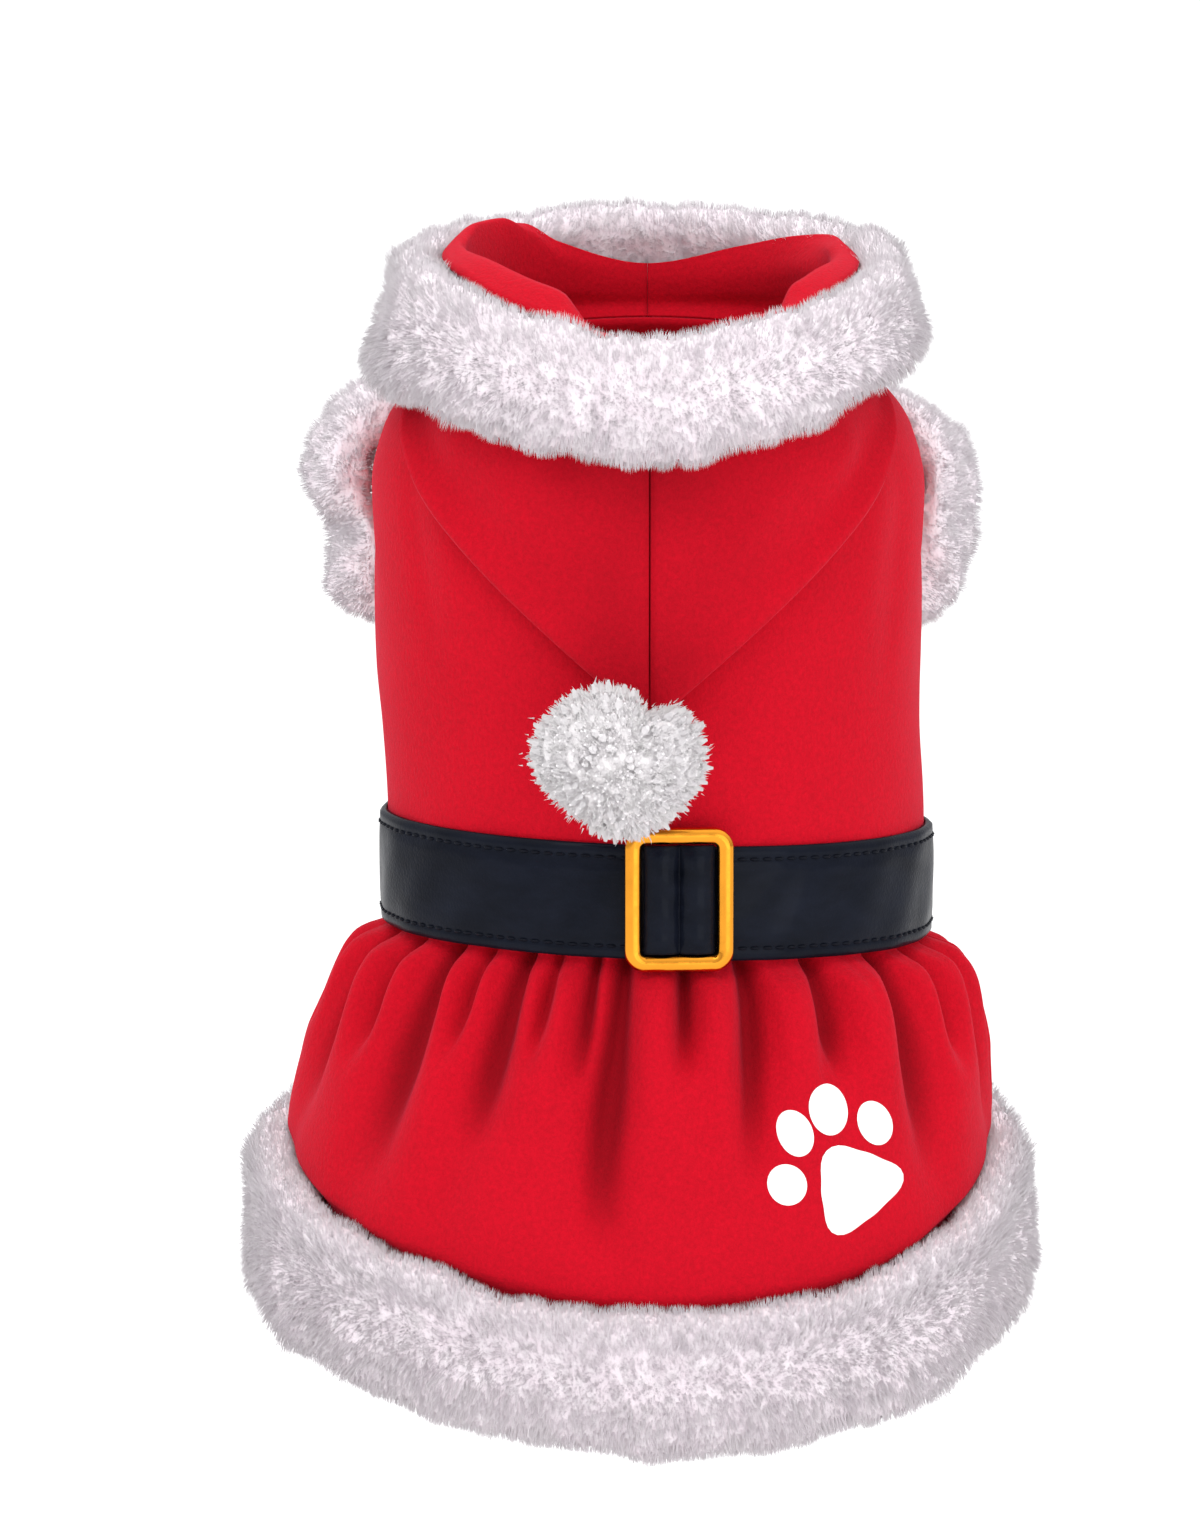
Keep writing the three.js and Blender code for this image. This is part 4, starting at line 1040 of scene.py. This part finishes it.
class DressSkirt(bpy.types.Operator):
    """Gathers the two halves of the skirt into the waist, and prints the paw"""

    bl_idname = "dress.skirt"
    bl_label = "Skirt"

    def execute(self, context):
        edge = SKIRT_SEAM - SKIRT_GAP
        back = skirt_half("skirt_back_cloth", -edge, edge, 250)
        dressed(back, fleece(), "fleece", "skirt_back")
        paw = paw_print()
        dressed(paw, ink(), "fleece")
        edge = SKIRT_SEAM + SKIRT_GAP
        belly = skirt_half("skirt_belly_cloth", edge, 360 - edge, 160)
        dressed(belly, fleece(), "fleece", "skirt_belly")
        return {"FINISHED"}


# The paw, in units of its width: middle across and up, half width, half height, turn in degrees
PAW_TOES = (
    (-0.353, -0.158, 0.140, 0.158, 40),
    (-0.294, 0.214, 0.128, 0.180, 26),
    (-0.046, 0.364, 0.139, 0.194, 20),
    (0.305, 0.233, 0.122, 0.174, 27),
)


def paw_print():
    """Four toes and a rounded pad, laid on the skirt with its folds."""
    width = sizes().print_size / MM
    middle_x, middle_z = 45.1, -192.8
    points, faces = [], []

    def disc(outline):
        rings = 9
        start = len(points)
        centre = outline.mean(axis=0)
        for ring in np.linspace(0, 1, rings + 1)[1:]:
            points.extend(np.concatenate([mix(centre, outline, ring), np.full((len(outline), 1), ring)], 1))
        points.append((*centre, 0.0))
        n, hub = len(outline), start + rings * len(outline)
        for ring in range(rings - 1):
            for k in range(n):
                a, b = start + ring * n + k, start + ring * n + (k + 1) % n
                faces.append((a, b, b + n, a + n))
        for k in range(n):
            faces.append((hub, start + (k + 1) % n, start + k))

    turns = np.linspace(0, 2 * math.pi, 49)[:-1]
    for x, y, across, high, tilt in PAW_TOES:
        oval = np.stack([across * np.cos(turns), high * np.sin(turns)], -1)
        t = math.radians(tilt)
        turned = oval @ np.array([[math.cos(t), math.sin(t)], [-math.sin(t), math.cos(t)]])
        disc(turned + (x, y))
    turned = turns - math.radians(5)
    reach = 0.30 + 0.052 * np.cos(3 * turned) + 0.012 * np.cos(6 * turned)
    disc(np.stack([reach * np.cos(turns), reach * np.sin(turns)], -1) + (0.160, -0.220))
    flat = np.array(points)
    x, z = middle_x + flat[:, 0] * width, middle_z + flat[:, 1] * width
    rho = np.full_like(z, 82.0)
    for _ in range(12):
        angle = np.degrees(np.arcsin((x - lean(z)) / rho))
        top, low = skirt_heights(angle, 0), skirt_heights(angle, 1)
        at = (z - top) / (low - top)
        rho = skirt_rho(angle, at)
    lift = 0.06 + 0.16 * (1 - smoothstep(flat[:, 2], 0.93, 1.0))
    xyz = place(angle, rho + lift, z)
    mesh = bpy.data.meshes.new("paw_print")
    mesh.from_pydata((xyz * MM).tolist(), [], faces)
    mesh.polygons.foreach_set("use_smooth", np.full(len(mesh.polygons), True))
    piece = new_object("paw_print", mesh)
    outward(piece)
    if sum(face.normal.y for face in mesh.polygons) > 0:
        mesh.flip_normals()
    return piece


def band_grid(middles, radius, angles):
    """A rounded band's points by (angle, turn round its section), and the middle of each section."""
    top_rho, top_z, low_rho, low_z = (m[:, None] for m in middles)
    slant = np.arctan2(low_rho - top_rho, top_z - low_z)

    def arc(rho, z, start, end):
        turn = np.radians(np.linspace(start, end, 12))[None, :]
        across, along = np.cos(turn), np.sin(turn)
        return np.stack([rho + radius * (across * np.cos(slant) - along * np.sin(slant)),
                         z + radius * (along * np.cos(slant) + across * np.sin(slant))])

    upper, lower = arc(top_rho, top_z, 180, 0), arc(low_rho, low_z, 0, -180)
    steps = np.array((0.2, 0.4, 0.6, 0.8))
    face = mix(upper[..., -1:], lower[..., :1], steps)
    back = mix(lower[..., -1:], upper[..., :1], steps)
    section = np.concatenate([upper, face, lower, back], axis=-1)
    a = angles[:, None]
    return place(a, *section), place(a, (top_rho + low_rho) / 2, (top_z + low_z) / 2)


def grow(name, grid, middle, joined_rows, count, rng, comb, replaced, seed, weight=lambda row, column: 1.0):
    """A plush band: its backing, with soft lumps, and the pile on it."""
    normals = normals_of(grid, middle, joined_rows)
    lumps = 0.7 * waves(grid, seed, 17) + 0.45 * waves(grid, seed + 1, 8)
    ground = grid + normals * lumps[..., None]
    rows, columns = ground.shape[:2]
    faces = grid_faces(rows, columns, joined_rows, True)
    points = ground.reshape(-1, 3)
    base = new_object(f"{name}_backing", mesh_of(f"{name}_backing", points, faces))
    if not joined_rows:
        shape = bmesh.new()
        shape.from_mesh(base.data)
        bmesh.ops.holes_fill(shape, edges=[e for e in shape.edges if e.is_boundary], sides=0)
        shape.to_mesh(base.data)
        shape.free()
    outward(base)
    dressed(base, plush_ground(), "plush", replaced)
    roots, lift = scatter(ground, normals, joined_rows, count, rng, weight)
    way = comb(roots, lift)
    reach = sizes().pile_length / MM * rng.uniform(0.8, 1.08, count)
    reach = reach * (1 + 0.1 * waves(roots, seed + 2, 9)) * (1 + 0.6 * smoothstep(np.abs(way[:, 2]), 0.35, 0.8))
    hair = strands(f"{name}_pile", roots - lift * 0.3, lift, way, reach, sizes().pile_width / MM, rng, 3.2)
    dressed(hair, plush("plush_pile", tuple(colours().plush), tuple(colours().plush_shade)), "plush")
    return base, hair


def hidden_side(column):
    """Whether a column of a band's grid is on the side that faces the wearer."""
    return (column < 3) | (column >= 25)


def away_from_middle(middle_z_of, droop):
    """A comb that lays pile away from a band's middle line, with a droop."""
    def comb(roots, normals):
        angle = np.degrees(np.arctan2(roots[:, 0], -roots[:, 1]))
        up = np.clip((roots[:, 2] - middle_z_of(angle)) / 9, -1, 1)[:, None]
        way = (up * 0.9 - droop) * (0, 0, 1)
        return way - normals * (way * normals).sum(-1, keepdims=True)
    return comb


class DressHoodBand(bpy.types.Operator):
    """Makes the plush band round the hood's edge"""

    bl_idname = "dress.hood_band"
    bl_label = "Hood band"

    def execute(self, context):
        rng = np.random.default_rng(21)
        angles = np.arange(-180, 180, 1.5)
        rows = read(COLLAR_SECTIONS, angles)
        grid, middle = band_grid(rows.T, COLLAR_PLUSH / 2 - 0.7, angles)
        behind = np.cos(np.radians(angles)) > 0

        def middle_z(angle):
            return read(COLLAR_SECTIONS, wrapped(angle))[:, [1, 3]].mean(axis=1)

        def weight(row, column):
            return np.where(behind[row] & hidden_side(column), HIDDEN_PILE, 1.0)

        base, hair = grow("hood_band", grid, middle, True, 52000, rng, away_from_middle(middle_z, 0.18),
                          "hood_plush", 31, weight)
        return {"FINISHED"}


class DressCuffs(bpy.types.Operator):
    """Makes both plush cuffs"""

    bl_idname = "dress.cuffs"
    bl_label = "Cuffs"

    def execute(self, context):
        for side, name in ((-1, "left"), (1, "right")):
            rng = np.random.default_rng(40 + side)
            grid = cuff_grid(side, 0.7)
            turn, root = sleeve_matrix(side)
            spine = root + turn[:, 2] * (SLEEVE_LENGTH + CUFF_LENGTH / 2)
            across = unit(grid.mean(axis=1, keepdims=True) - spine)
            middle = spine + across * (CUFF_INNER + CUFF_OUTER) / 2
            comb = lambda roots, normals, way=turn[:, 2]: 0.25 * way - normals * (normals @ way)[:, None] * 0.25
            base, hair = grow(f"cuff_{name}", grid, middle, True, 18000, rng, comb, f"cuff_{name}", 50 + side)
        return {"FINISHED"}


class DressHem(bpy.types.Operator):
    """Makes the two halves of the plush hem"""

    bl_idname = "dress.hem"
    bl_label = "Hem"

    def execute(self, context):
        inner, outer = SKIRT_SEAM - SKIRT_GAP, SKIRT_SEAM + SKIRT_GAP
        halves = (
            ("back", -inner, inner, 61, 50000, (0.296, 0.040)),
            ("belly", outer, 360 - outer, 71, 26000, (0.269, 0.040)),
        )
        for name, low, high, seed, count, flat in halves:
            rng = np.random.default_rng(seed)
            angles = np.linspace(low, high, int((high - low) / 1.3))
            rho = oval_radius(SKIRT_RINGS, np.ones_like(angles), angles) + 2.6
            half = (HEM_HEIGHT - HEM_PLUSH) / 2
            turn = np.radians(angles)
            wave = 0.5 * np.sin(turn * 9) + 0.4 * np.sin(turn * 5 + math.radians(40))
            middles = (rho - 0.6, hem_middle(angles) + half, rho + 0.6 + wave, hem_middle(angles) - half)
            grid, middle = band_grid(middles, HEM_PLUSH / 2 - 0.8, angles)
            base, hair = grow(f"hem_{name}", grid, middle, False, count, rng, away_from_middle(hem_middle, 0.1),
                              f"hem_plush_{name}", seed, self.weight)
        return {"FINISHED"}

    def weight(self, row, column):
        return np.where(hidden_side(column), HIDDEN_PILE, 1.0)


class Ball:
    """Directions over a sphere, with the triangles between them."""

    def __init__(self, around, down):
        turns = np.arange(around) * math.tau / around
        tilts = (np.arange(down) + 0.5) * math.pi / down
        t, p = np.meshgrid(turns, tilts)
        side = np.stack([np.sin(p) * np.cos(t), np.sin(p) * np.sin(t), np.cos(p)], -1).reshape(-1, 3)
        self.ways = np.concatenate([side, [(0, 0, 1), (0, 0, -1)]])
        quads = grid_faces(down, around, False, True)
        top, low, last = down * around, down * around + 1, (down - 1) * around
        k = np.arange(around)
        k2 = (k + 1) % around
        caps = [np.stack([k2, k, 0 * k + top], -1)[:, ::-1], np.stack([k2 + last, k + last, 0 * k + low], -1)]
        self.faces = np.concatenate([quads[:, :3], quads[:, [0, 2, 3]], *caps])


# The pompom's outline seen from behind: direction in degrees (0 is right, 90 is up), reach
POMPOM_OUTLINE = np.array([
    (0, 21.2), (20, 21.6), (40, 20.4), (49, 17.0), (57, 13.8), (66, 14.6), (80, 17.3), (100, 18.8), (118, 19.6),
    (146, 20.4), (168, 21.2), (180, 20.6), (196, 18.2), (215, 16.0), (235, 15.8), (256, 16.4), (281, 17.4),
    (308, 18.0), (334, 19.2), (360, 21.2),
])
POMPOM_MIDDLE = np.array([-7.8, -88.0, -93.4])


class DressPompom(bpy.types.Operator):
    """Ties the yarn pompom on the hood's tip"""

    bl_idname = "dress.pompom"
    bl_label = "Pompom"

    def execute(self, context):
        rng = np.random.default_rng(7)
        count = 1500
        k = np.arange(count)
        up = 1 - (2 * k + 1) / count
        turn = k * math.pi * (3 - math.sqrt(5))
        flat = np.sqrt(1 - up * up)
        even = np.stack([flat * np.cos(turn), flat * np.sin(turn), up], -1)
        ways = unit(even + rng.normal(size=(count, 3)) * 0.07)
        heading = np.degrees(np.arctan2(ways[:, 2], ways[:, 0])) % 360
        outline = read(POMPOM_OUTLINE, heading)[:, 0]
        level = np.hypot(ways[:, 0], ways[:, 2])
        reach = mix(17.5, outline, level**2) * rng.uniform(0.95, 1.02, count)
        for i in range(count):
            while reach[i] > 9:
                tip = POMPOM_MIDDLE + ways[i] * reach[i]
                angle = math.degrees(math.atan2(tip[0], -tip[1]))
                rho = math.hypot(tip[0], tip[1]) - 0.9
                belt = tip[2] < BELT_CENTRE + BELT_HEIGHT / 2 + 2
                wall = bodice_radius(angle, tip[2]) + (8.4 if belt else 0)
                fold = float(hood_fold(abs(angle)))
                hood = tip[2] > fold - 2 and rho < float(read(HOOD_RISE, abs(angle))[2]) + 1.2
                if rho > wall and not hood:
                    break
                reach[i] -= 0.5
        points, faces, shade, tuft = [], [], [], []
        sides, rings = 6, (0.5, 0.8, 0.91, 1.0)
        girths = (0.7, 0.95, 0.9, 0.3)
        for i in range(count):
            way = Vector(ways[i])
            across = way.orthogonal().normalized()
            other = way.cross(across)
            sag = Vector(rng.normal(size=3)) * 0.9
            start = len(points)
            fat = rng.uniform(0.85, 1.2)
            for ring, girth in zip(rings, girths):
                middle = Vector(POMPOM_MIDDLE) + way * reach[i] * ring + sag * ring * ring
                for s in range(sides):
                    t = 2 * math.pi * (s / sides + ring * 0.8)
                    r = girth * fat * (1 + 0.15 * math.sin(3 * t + i))
                    points.append(middle + (across * math.cos(t) + other * math.sin(t)) * r)
                    shade.append(ring)
                    tuft.append((i * 0.618) % 1)
            faces += tube_faces(len(rings), sides, start)
            last = start + (len(rings) - 1) * sides
            faces += [(last, last + s, last + s + 1) for s in range(1, sides - 1)]
        self.neck(points, faces, shade, tuft)
        start = len(points)
        core = Ball(36, 24)
        nearest = np.argmax(core.ways @ ways.T, axis=1)
        points.extend(POMPOM_MIDDLE + core.ways * reach[nearest, None] * 0.935)
        faces.extend((core.faces + start).tolist())
        shade.extend([0.8] * len(core.ways))
        tuft.extend([0.5] * len(core.ways))
        mesh = mesh_of("pompom_yarn", np.array(points), np.array(faces))
        note(mesh, "pile", np.clip((np.array(shade) - 0.45) / 0.55, 0, 1))
        note(mesh, "tuft", tuft)
        mesh.normals_split_custom_set_from_vertices(unit(np.array(points, float) - POMPOM_MIDDLE))
        yarn = new_object("pompom_yarn", mesh)
        finish = plush("yarn_pile", (0.97, 0.95, 0.95), (0.97, 0.94, 0.94))
        dressed(yarn, finish, "yarn", "pompom")
        fuzz_count = 26000
        pick = rng.integers(0, count, fuzz_count)
        along = rng.uniform(0.84, 0.97, (fuzz_count, 1))
        spread = rng.normal(size=(fuzz_count, 3)) * 0.9
        roots = POMPOM_MIDDLE + ways[pick] * reach[pick, None] * along + spread
        lift = unit(roots - POMPOM_MIDDLE)
        fuzz = strands("pompom_fuzz", roots, lift, 0 * lift, rng.uniform(1.0, 2.0, fuzz_count), 0.42, rng, 2.0)
        dressed(fuzz, finish, "yarn")
        return {"FINISHED"}

    def neck(self, points, faces, shade, tuft):
        """Adds the short, twisted neck that ties the pompom to the hood's tip."""
        tip = np.array([0, -(float(bodice_radius(0, HOOD_TIP)) + 3.0), HOOD_TIP + 0.6])
        run = Vector(tip - POMPOM_MIDDLE)
        across = run.orthogonal().normalized()
        other = run.normalized().cross(across)
        sides, rings, start = 18, 30, len(points)
        for ring in range(rings):
            share = ring / (rings - 1)
            middle = Vector(POMPOM_MIDDLE) + run * share
            for s in range(sides):
                t = math.tau * s / sides
                girth = mix(3.4, 1.9, share) * (1 + 0.16 * math.cos(3 * t + 14 * share))
                points.append(middle + (across * math.cos(t) + other * math.sin(t)) * girth)
                shade.append(0.8)
                tuft.append(0.5)
        round_it = grid_faces(rings, sides, False, True) + start
        faces.extend(np.concatenate([round_it[:, :3], round_it[:, [0, 2, 3]]]).tolist())
        last = start + (rings - 1) * sides
        faces.extend((last, last + s, last + s + 1) for s in range(1, sides - 1))


def belt_frame(angle, height, out=0.0):
    """A place on the belt's face: its angle, mm above its middle line, mm out of its face."""
    inside = oval_radius(BODICE_RINGS, np.ones_like(angle), angle) + SEAM
    bow = 0.4 * (1 - (height / (BELT_HEIGHT / 2)) ** 2)
    turn = np.radians(angle)
    wave = 0.22 * np.sin(turn * 9 + height * 0.11) + 0.14 * np.sin(turn * 23 - height * 0.2)
    z = BELT_CENTRE - WAIST_ROLL * np.sin(turn) + height
    return place(angle, inside + BELT_THICKNESS + bow + wave + out, z)


class DressBelt(bpy.types.Operator):
    """Makes the belt, with a sewn line along both edges"""

    bl_idname = "dress.belt"
    bl_label = "Belt"

    def execute(self, context):
        angles = np.arange(-180, 180, 1.2)[:, None]
        half = BELT_HEIGHT / 2
        heights = np.array([-1, -0.985, -0.95, -0.84, -0.80, -0.78, -0.76, -0.72, -0.5, -0.25, 0, 0.25, 0.5, 0.72,
                            0.76, 0.78, 0.80, 0.84, 0.95, 0.985, 1])[None, :] * half
        dip = -0.3 * hump(np.abs(heights) - half * SEWN_LINE, 0.55)
        dip = dip - 0.7 * smoothstep(np.abs(heights) / half, 0.95, 1.0)
        inside = oval_radius(BODICE_RINGS, np.ones_like(angles), angles) + SEAM
        z = BELT_CENTRE - WAIST_ROLL * np.sin(np.radians(angles)) + heights
        belt = walled("belt_strap", belt_frame(angles, heights, dip), place(angles, inside, z), joined=True)
        dressed(belt, leatherette(), "leatherette", "belt")
        seams = self.stitches(half)
        dressed(seams, thread(), "leatherette")
        return {"FINISHED"}

    def stitches(self, half):
        """A row of plump stitches along each sewn line, each a short tube that dips into the cloth at its ends."""
        rng = np.random.default_rng(3)
        long, pitch = sizes().stitch / MM, sizes().stitch_pitch / MM
        arc = math.radians(1) * BODY_RADIUS
        count = int(360 * arc / pitch)
        points, faces = [], []
        sides, rings = 6, (-0.5, -0.3, 0.0, 0.3, 0.5)
        for level in (-SEWN_LINE, SEWN_LINE):
            for i in range(count):
                middle = -180 + 360 * (i + rng.uniform(-0.05, 0.05)) / count
                faces += tube_faces(len(rings), sides, len(points))
                for s in rings:
                    girth = 0.34 * math.sqrt(max(1 - (2 * s) ** 4, 0.05))
                    lift = -0.22 + 0.24 * (1 - (2 * s) ** 2)
                    for t in np.linspace(0, 2 * math.pi, sides + 1)[:-1]:
                        height = level * half + girth * math.cos(t)
                        points.append((middle + s * long / arc, height, lift + girth * math.sin(t)))
        xyz = belt_frame(*np.array(points).T)
        return new_object("belt_stitches", mesh_of("belt_stitches", xyz, np.array(faces)))


def buckle_place(local):
    """Points of the buckle in its own plane, its face towards +Z, in the dress's frame."""
    angle = math.degrees(math.asin(BUCKLE_X / float(bodice_radius(0, -WAIST_DROP))))
    face = float(bodice_radius(angle, -WAIST_DROP)) + SEAM + BELT_THICKNESS + 0.4 + SEAM
    x, y, z = local[..., 0], -local[..., 2], local[..., 1]
    t = math.radians(angle)
    turned = np.stack([x * math.cos(t) - y * math.sin(t), x * math.sin(t) + y * math.cos(t), z], -1)
    return turned + place(angle, face, BUCKLE_Z)


class DressBuckle(bpy.types.Operator):
    """Makes the buckle's frame and the strap in its window"""

    bl_idname = "dress.buckle"
    bl_label = "Buckle"

    def execute(self, context):
        self.frame()
        self.keeper()
        return {"FINISHED"}

    def frame(self):
        """A rounded bar swept round a rounded rectangle."""
        corner = 3.2
        half_x, half_y = (BUCKLE_WIDTH - BUCKLE_BAR) / 2, (BUCKLE_HEIGHT - BUCKLE_BAR) / 2
        path, facing = [], []
        for start, (sx, sy) in zip((0, 90, 180, 270), ((1, 1), (-1, 1), (-1, -1), (1, -1))):
            for turn in np.radians(np.linspace(start, start + 90, 13)):
                way = (math.cos(turn), math.sin(turn))
                path.append((sx * (half_x - corner) + corner * way[0], sy * (half_y - corner) + corner * way[1]))
                facing.append(way)
        path, facing = np.array(path), np.array(facing)
        turns = np.radians(np.arange(0, 360, 12))
        across = squared(np.cos(turns), 0.9) * BUCKLE_BAR / 2
        deep = (squared(np.sin(turns), 0.9) + 1) * BUCKLE_THICKNESS / 2
        flat = path[:, None] + facing[:, None] * across[None, :, None]
        local = np.concatenate([flat, np.broadcast_to(deep[None, :, None], (*flat.shape[:2], 1))], axis=-1)
        points = buckle_place(local)
        faces = grid_faces(len(path), len(turns), True, True)
        ring = new_object("buckle_ring", mesh_of("buckle_ring", points.reshape(-1, 3), faces))
        outward(ring)
        dressed(ring, gilt(), "gold_plastic", "buckle_frame")

    def keeper(self):
        """The strap in the window, with two upright rolls."""
        width, rise, wall = 17.4, 2.6, 1.3
        height = BUCKLE_HEIGHT - 2 * BUCKLE_BAR - 2 * SEAM
        across = np.linspace(-0.5, 0.5, 73)[:, None]
        up = np.linspace(-0.5, 0.5, 41)[None, :]
        dip = 1 - 0.35 * smoothstep(np.abs(up), 0.38, 0.5)
        bulge = 0.35 + wall + rise * np.abs(np.sin(2 * math.pi * across)) ** 0.75 * dip
        bulge = bulge + 0.12 * np.sin(up * 19 + across * 9) * (0.5 - np.abs(across)) * 2
        x, y = across * width + 0 * up, up * height + 0 * across
        outer = np.stack([x, y, bulge + 0 * y], -1)
        inner = np.stack([x * 0.93, y, bulge - wall + 0 * y], -1)
        strap = walled("buckle_strap", buckle_place(outer), buckle_place(inner))
        dressed(strap, leatherette(), "leatherette", "buckle_keeper")


class DressStage(bpy.types.Operator):
    """Sets the pale floor and the soft studio lights"""

    bl_idname = "dress.stage"
    bl_label = "Stage"

    def execute(self, context):
        floor = new_object("floor", bpy.data.meshes.new("floor"))
        size, low = 30.0, -0.36
        corners = [(-size, -size, low), (size, -size, low), (size, size, low), (-size, size, low)]
        floor.data.from_pydata(corners, [], [(0, 1, 2, 3)])
        f = Finish("floor", Roughness=0.9)
        grain = f.noise(3, 2)
        pale = tuple(colours().floor)
        f.join(f.ramp(grain, [(0.0, shaded(pale, 0.99)), (1.0, pale)]), f.surface.inputs["Base Color"])
        floor.data.materials.append(f.material)
        world = bpy.data.worlds.new("studio")
        world.use_nodes = True
        nodes, links = world.node_tree.nodes, world.node_tree.links
        height = nodes.new("ShaderNodeSeparateXYZ")
        links.new(nodes.new("ShaderNodeTexCoord").outputs["Generated"], height.inputs[0])
        sky = nodes.new("ShaderNodeValToRGB")
        sky.color_ramp.elements[0].color = (0.42, 0.42, 0.44, 1)
        sky.color_ramp.elements[1].color = (1.0, 1.0, 1.0, 1)
        sky.color_ramp.elements[1].position = 0.75
        links.new(height.outputs["Z"], sky.inputs["Fac"])
        links.new(sky.outputs["Color"], nodes["Background"].inputs["Color"])
        nodes["Background"].inputs["Strength"].default_value = 1.45
        context.scene.world = world
        self.light("key", (-0.5, -1.1, 1.4), 1.3, 8.5)
        self.light("fill", (0.9, -1.5, -0.1), 1.4, 6.5)
        self.light("top", (0.1, 0.5, 1.5), 0.9, 3)
        context.scene.view_settings.view_transform = "Standard"
        return {"FINISHED"}

    def light(self, name, place_at, size, power):
        lamp = bpy.data.lights.new(name, "AREA")
        lamp.shape = "DISK"
        lamp.size = size
        lamp.energy = power
        holder = new_object(name, lamp)
        holder.location = place_at
        holder.rotation_euler = (Vector((0, 0, -0.11)) - holder.location).to_track_quat("-Z", "Y").to_euler()


class DressPanel(bpy.types.Panel):
    """Lists the makers and their settings in the sidebar"""

    bl_idname = "VIEW3D_PT_dress"
    bl_label = "Dog dress"
    bl_space_type = "VIEW_3D"
    bl_region_type = "UI"
    bl_category = "Dress"

    def draw(self, context):
        for settings in (context.scene.dress_sizes, context.scene.dress_colours):
            for key in settings.bl_rna.properties.keys():
                if key not in ("rna_type", "name"):
                    self.layout.prop(settings, key)
        for maker in MAKERS:
            self.layout.operator(maker.bl_idname)


SETTINGS = (DressColours, DressSizes)
MAKERS = (
    DressCamera, DressBodice, DressSleeves, DressHood, DressSkirt, DressHoodBand, DressCuffs, DressHem,
    DressPompom, DressBelt, DressBuckle, DressStage,
)


def register():
    for kind in (*SETTINGS, *MAKERS, DressPanel):
        bpy.utils.register_class(kind)
    bpy.types.Scene.dress_colours = bpy.props.PointerProperty(type=DressColours)
    bpy.types.Scene.dress_sizes = bpy.props.PointerProperty(type=DressSizes)


def unregister():
    del bpy.types.Scene.dress_sizes
    del bpy.types.Scene.dress_colours
    for kind in reversed((*SETTINGS, *MAKERS, DressPanel)):
        bpy.utils.unregister_class(kind)


def main():
    register()
    for maker in MAKERS:
        group, name = maker.bl_idname.split(".")
        getattr(getattr(bpy.ops, group), name)()


if __name__ == "__main__":
    main()
